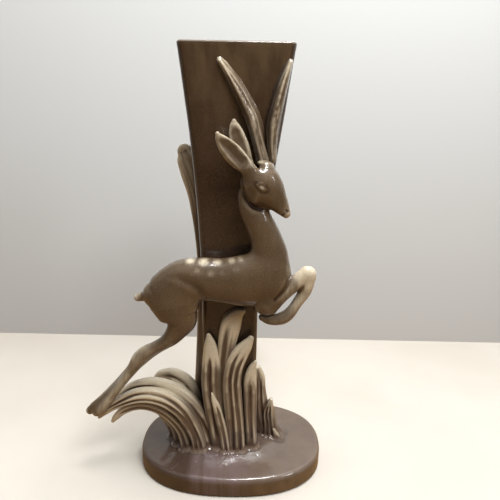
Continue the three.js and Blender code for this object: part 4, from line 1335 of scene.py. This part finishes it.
def build_bulb_cap():
    """Thin brass: a foot, a rolled screw thread and a plain collar."""
    low, high = box_mm("bulb_cap")
    foot, rim = low[2], high[2]
    collar = half_width("bulb_cap")
    thread = collar - 0.6
    pitch = 3.6
    wall = 0.35
    bore = thread - 0.55

    def outer(z):
        """The radius all round at one height; the thread is shallower higher up and fades at both ends."""
        deep = 0.45 - 0.27 * float(ease(z, foot + 11.5, foot + 14))
        swing = deep * float(ease(z, foot + 3, foot + 5)) * float(ease(-z, -foot - 22, -foot - 20))
        return thread - swing + swing * np.cos(2 * np.pi * z / pitch - TURNS)

    heights = np.arange(foot + 3, foot + 22.4, 0.45)
    outside = [(4.2, foot), (8.6, foot), (11.6, foot + 1.6)]
    outside += [(outer(z), z) for z in heights]
    outside += [(collar - 0.1, rim - 3), (collar, rim - 2.6), (collar, rim - 0.3), (collar - 0.3, rim)]
    inside = [(bore, rim)]
    inside += [(np.minimum(outer(z) - wall, bore), z) for z in heights[::-1]]
    inside += [(11.2, foot + 2.2), (8.4, foot + 1.2), (4.2, foot + 1.2)]
    return turned("threaded_cap", outside + inside, middle_of("bulb_cap"), loop=True)


def build_foot_contact():
    low, high = box_mm("bulb_foot_contact")
    radius = half_width("bulb_foot_contact")
    crown = 1.2
    turns = np.radians([1, 25, 50, 75, 90])
    profile = [(radius * math.sin(turn), low[2] + crown * (1 - math.cos(turn))) for turn in turns]
    profile += [(radius, high[2]), (0.05, high[2])]
    return turned("foot_contact", profile, middle_of("bulb_foot_contact"))


def twin_section(width, height):
    """The outline of a flat twin cord: two round wires side by side, joined by a web."""
    wire = height / 4 + 0.05
    upper = np.radians(np.linspace(-50, 230, 12))
    arc = np.column_stack([width / 2 * np.cos(upper), height / 2 - wire + wire * np.sin(upper)])
    return np.vstack([arc, -arc])


def swept(name, path, section):
    """A section swept along a path, its tall side kept upright wherever the path isn't."""
    along = np.gradient(path, axis=0)
    along /= np.linalg.norm(along, axis=1)[:, None]
    rings = []
    side = np.array([1.0, 0, 0])
    for centre, heading in zip(path, along):
        level = np.cross(heading, [0, 0, 1.0])
        if np.linalg.norm(level) > 0.3:
            side = level / np.linalg.norm(level)
        up = np.cross(side, heading)
        rings.append(centre + section[:, :1] * side + section[:, 1:] * up)
    return skin(name, rings)


TIE_LOW, TIE_HIGH = box_mm("hank_tie")
SWITCH_LOW = np.minimum(box_mm("switch_top")[0], box_mm("switch_bottom")[0])
SWITCH_HIGH = box_mm("switch_top")[1]
PLUG_X, _, PLUG_Z = middle_of("plug_body")
PLUG_BACK = box_mm("plug_body")[1][1]
CORD_WIDTH, CORD_HEIGHT = 2.8, 5.2
LEGS = 11  # straight legs of the folded cord
_, HANK_MIDDLE, CORD_Z = middle_of("hank_tie")
FIRST_LEG, LAST_LEG = TIE_LOW[0] + 3.3, TIE_HIGH[0] - 3.3
PITCH = (LAST_LEG - FIRST_LEG) / (LEGS - 1)
HANK_NEAR, HANK_FAR = HANK_MIDDLE - 45, HANK_MIDDLE + 45
SWITCH_X = (SWITCH_LOW[0] + SWITCH_HIGH[0]) / 2
SWITCH_MIDDLE = (SWITCH_LOW[2] + SWITCH_HIGH[2]) / 2


def hank_path():
    """The surplus cord, folded to and fro in straight legs joined by half turns."""
    points = []
    bend = PITCH / 2
    for leg in range(LEGS):
        x = FIRST_LEG + leg * PITCH
        away = leg % 2 == 0
        start, end = (HANK_NEAR, HANK_FAR) if away else (HANK_FAR, HANK_NEAR)
        for share in np.linspace(0, 1, 12):
            points.append([x, start + share * (end - start), CORD_Z])
        if leg + 1 == LEGS:
            break
        for angle in np.radians(np.linspace(15, 165, 11)):
            rise = bend * math.sin(angle)
            points.append([x + bend * (1 - math.cos(angle)), end + (rise if away else -rise), CORD_Z])
    return np.array(points)


def build_lamp_cord():
    """Down the pipe, out at the base's back, to and fro in the folded surplus and into the switch."""
    x, y, _ = middle_of("lamp_pipe")
    exit_x, _, exit_z = middle_of("cord_bushing")
    top = box_mm("lamp_cord")[1][2]
    back = HALF_DEPTH
    in_pipe = np.array([[x, y, z] for z in np.linspace(top, 20, 40)])
    to_hank = through([
        [x, y, 16], [x, y, 11], [x, y + 2, 7], [x, y + 7, 5.4], [x - 8, y + 24, 6.5],
        [exit_x, back - 16.5, exit_z], [exit_x, back - 5.5, exit_z], [exit_x, back + 5.5, exit_z - 1],
        [exit_x - 6, back + 12.5, CORD_Z + 2], [FIRST_LEG + 1, back + 18.5, CORD_Z + 0.4],
        [FIRST_LEG, HANK_NEAR - 4, CORD_Z],
    ])
    to_switch = through([
        [LAST_LEG, HANK_FAR + 3, CORD_Z + 1], [SWITCH_X, SWITCH_LOW[1] - 5, SWITCH_MIDDLE - 0.4],
        [SWITCH_X, SWITCH_LOW[1] + 8, SWITCH_MIDDLE],
    ])
    path = np.vstack([in_pipe, to_hank, hank_path(), to_switch])
    return swept("twin_cord", path, twin_section(CORD_WIDTH, CORD_HEIGHT))


def build_plug_cord():
    far = SWITCH_HIGH[1]
    path = through([
        [SWITCH_X, far - 8, SWITCH_MIDDLE], [SWITCH_X, far + 6, SWITCH_MIDDLE],
        [SWITCH_X - 14, far + 20, CORD_Z + 1], [PLUG_X + 12, far + 12, CORD_Z + 1],
        [PLUG_X, far - 2, PLUG_Z], [PLUG_X, PLUG_BACK - 5, PLUG_Z],
    ])
    return swept("twin_plug_cord", path, twin_section(CORD_WIDTH, CORD_HEIGHT))


finish_piece(build_bulb_glass(), ["bulb_glass"], FROSTED, "bulb")
finish_piece(build_bulb_cap(), ["bulb_cap"], BRASS, "bulb")
finish_piece(build_foot_contact(), ["bulb_foot_contact"], STEEL, "bulb")
finish_piece(build_lamp_cord(), ["lamp_cord"], BROWN)
finish_piece(build_plug_cord(), ["plug_cord"], BROWN)

# ---------- hardware ----------
CAD_MATERIALS = {
    "felt": FELT, "steel": STEEL, "brass": BRASS, "card": CARD, "phenolic": PHENOLIC,
    "frosted_glass": FROSTED, "tungsten": TUNGSTEN, "rubber": RUBBER, "brown_plastic": BROWN, "paper": PAPER,
}


def dress_hardware():
    """The CAD nodes that stay get their slot's material, softened edges and smooth sides."""
    names = {part["node"]: part["material_slot"] for part in frame["record"]["subparts"]}
    for node, obj in frame["nodes"].items():
        if obj.hide_render:
            continue
        material = CAD_MATERIALS[names[node]]
        obj.data.materials.clear()
        obj.data.materials.append(material)
        obj.data.shade_smooth()
        weld = obj.modifiers.new("weld", "WELD")
        weld.merge_threshold = 0.01 * MM
        bevel = obj.modifiers.new("bevel", "BEVEL")
        bevel.width = 0.35 * MM
        bevel.segments = 2
        bevel.limit_method = "ANGLE"
        bevel.angle_limit = math.radians(40)
        bevel.harden_normals = True


# ---------- stage ----------
def plain_sheet(name, corners, tint, bounced, one_sided=False):
    """A matte sheet. Bounced light sees a tint of its own, and a one-sided sheet shows only its front."""
    mesh = bpy.data.meshes.new(name)
    mesh.from_pydata(corners, [], [(0, 1, 2, 3)])
    sheet = bpy.data.objects.new(name, mesh)
    bpy.context.scene.collection.objects.link(sheet)
    s = Shader(bpy.data.materials.new(name))
    cloud = s.span(s.noise(6, 3), 0.3, 0.7, 0.0, 0.08)
    seen = s.node("LightPath").outputs["Is Camera Ray"]
    shade = s.mix(seen, bounced, s.mix(cloud, tint, bounced))
    front = s.node("BsdfDiffuse", {0: shade})
    behind = s.node("NewGeometry").outputs["Backfacing"] if one_sided else 0.0
    clear = s.node("BsdfTransparent")
    mixed = s.node("MixShader", {0: behind, 1: front.outputs[0], 2: clear.outputs[0]})
    s.node("OutputMaterial", {0: mixed.outputs[0]})
    mesh.materials.append(s.owner)


def build_stage():
    """A pale floor, and a pale wall just behind the lamp's cord that only shows from the front."""
    half = 6.0
    wall_y = cad_high.y + 0.02
    floor = [(-half, -half, 0), (half, -half, 0), (half, half, 0), (-half, half, 0)]
    plain_sheet("floor", floor, colour(206, 200, 190), colour(132, 104, 72))
    wall = [(-half, wall_y, 0), (half, wall_y, 0), (half, wall_y, half), (-half, wall_y, half)]
    plain_sheet("wall", wall, colour(214, 217, 217), colour(214, 217, 217), one_sided=True)


def area_light(name, place, target, size, power, mirrored=True):
    """A rectangular light; one that isn't mirrored gives no highlight in the glaze."""
    data = bpy.data.lights.new(name, "AREA")
    data.shape = "RECTANGLE"
    data.size, data.size_y = size
    data.energy = power
    light = bpy.data.objects.new(name, data)
    light.visible_glossy = mirrored
    light.location = place
    light.rotation_mode = "QUATERNION"
    light.rotation_quaternion = (Vector(target) - Vector(place)).to_track_quat("-Z", "Y")
    bpy.context.scene.collection.objects.link(light)


def build_world():
    """A pale room, bright overhead and behind the lamp; the camera itself sees plain grey."""
    world = bpy.data.worlds.new("room")
    bpy.context.scene.world = world
    s = Shader(world)
    s.spot = s.node("TexCoord").outputs["Generated"]
    _, back, up = s.place()
    glow = s.plus(s.span(back, -0.5, 0.7, 0.03, 0.5), s.span(up, 0.0, 0.9, 0.0, 0.35))
    room = s.node("Background", {0: colour(240, 240, 238), 1: glow})
    plain = s.node("Background", {0: colour(202, 202, 199)})
    seen = s.node("LightPath").outputs["Is Camera Ray"]
    mixed = s.node("MixShader", {0: seen, 1: room.outputs[0], 2: plain.outputs[0]})
    s.node("OutputWorld", {0: mixed.outputs[0]})


def build_camera():
    """Stands in front, a little right of the middle, and looks down at the lamp."""
    data = bpy.data.cameras.new("camera")
    data.sensor_width = 36.0
    data.lens = 35.3
    camera = bpy.data.objects.new("camera", data)
    camera.location = Vector((17.8, -497.0, 398.0)) * MM
    camera.rotation_mode = "QUATERNION"
    pitch = Quaternion((1, 0, 0), math.radians(90 - 16.3))
    roll = Quaternion((0, 0, 1), 0.02)
    camera.rotation_quaternion = pitch @ roll
    bpy.context.scene.collection.objects.link(camera)
    bpy.context.scene.camera = camera


dress_hardware()
build_stage()
build_world()
build_camera()
area_light("key", (0.45, -0.7, 1.35), (0, 0, 0.2), (0.6, 0.4), 12, mirrored=False)
area_light("overhead", (0.0, -0.05, 1.5), (0, 0, 0.2), (1.2, 0.5), 6, mirrored=False)
area_light("left", (-1.1, -0.5, 0.8), (0, 0, 0.25), (0.3, 0.8), 1.5, mirrored=False)
area_light("tube", (0.18, -0.1, 1.4), (0, 0, 0.1), (0.7, 0.13), 13)
area_light("window", (0.9, -0.6, 0.9), (0, 0, 0.25), (0.1, 0.3), 1.5)
bpy.context.scene.view_settings.view_transform = "Standard"
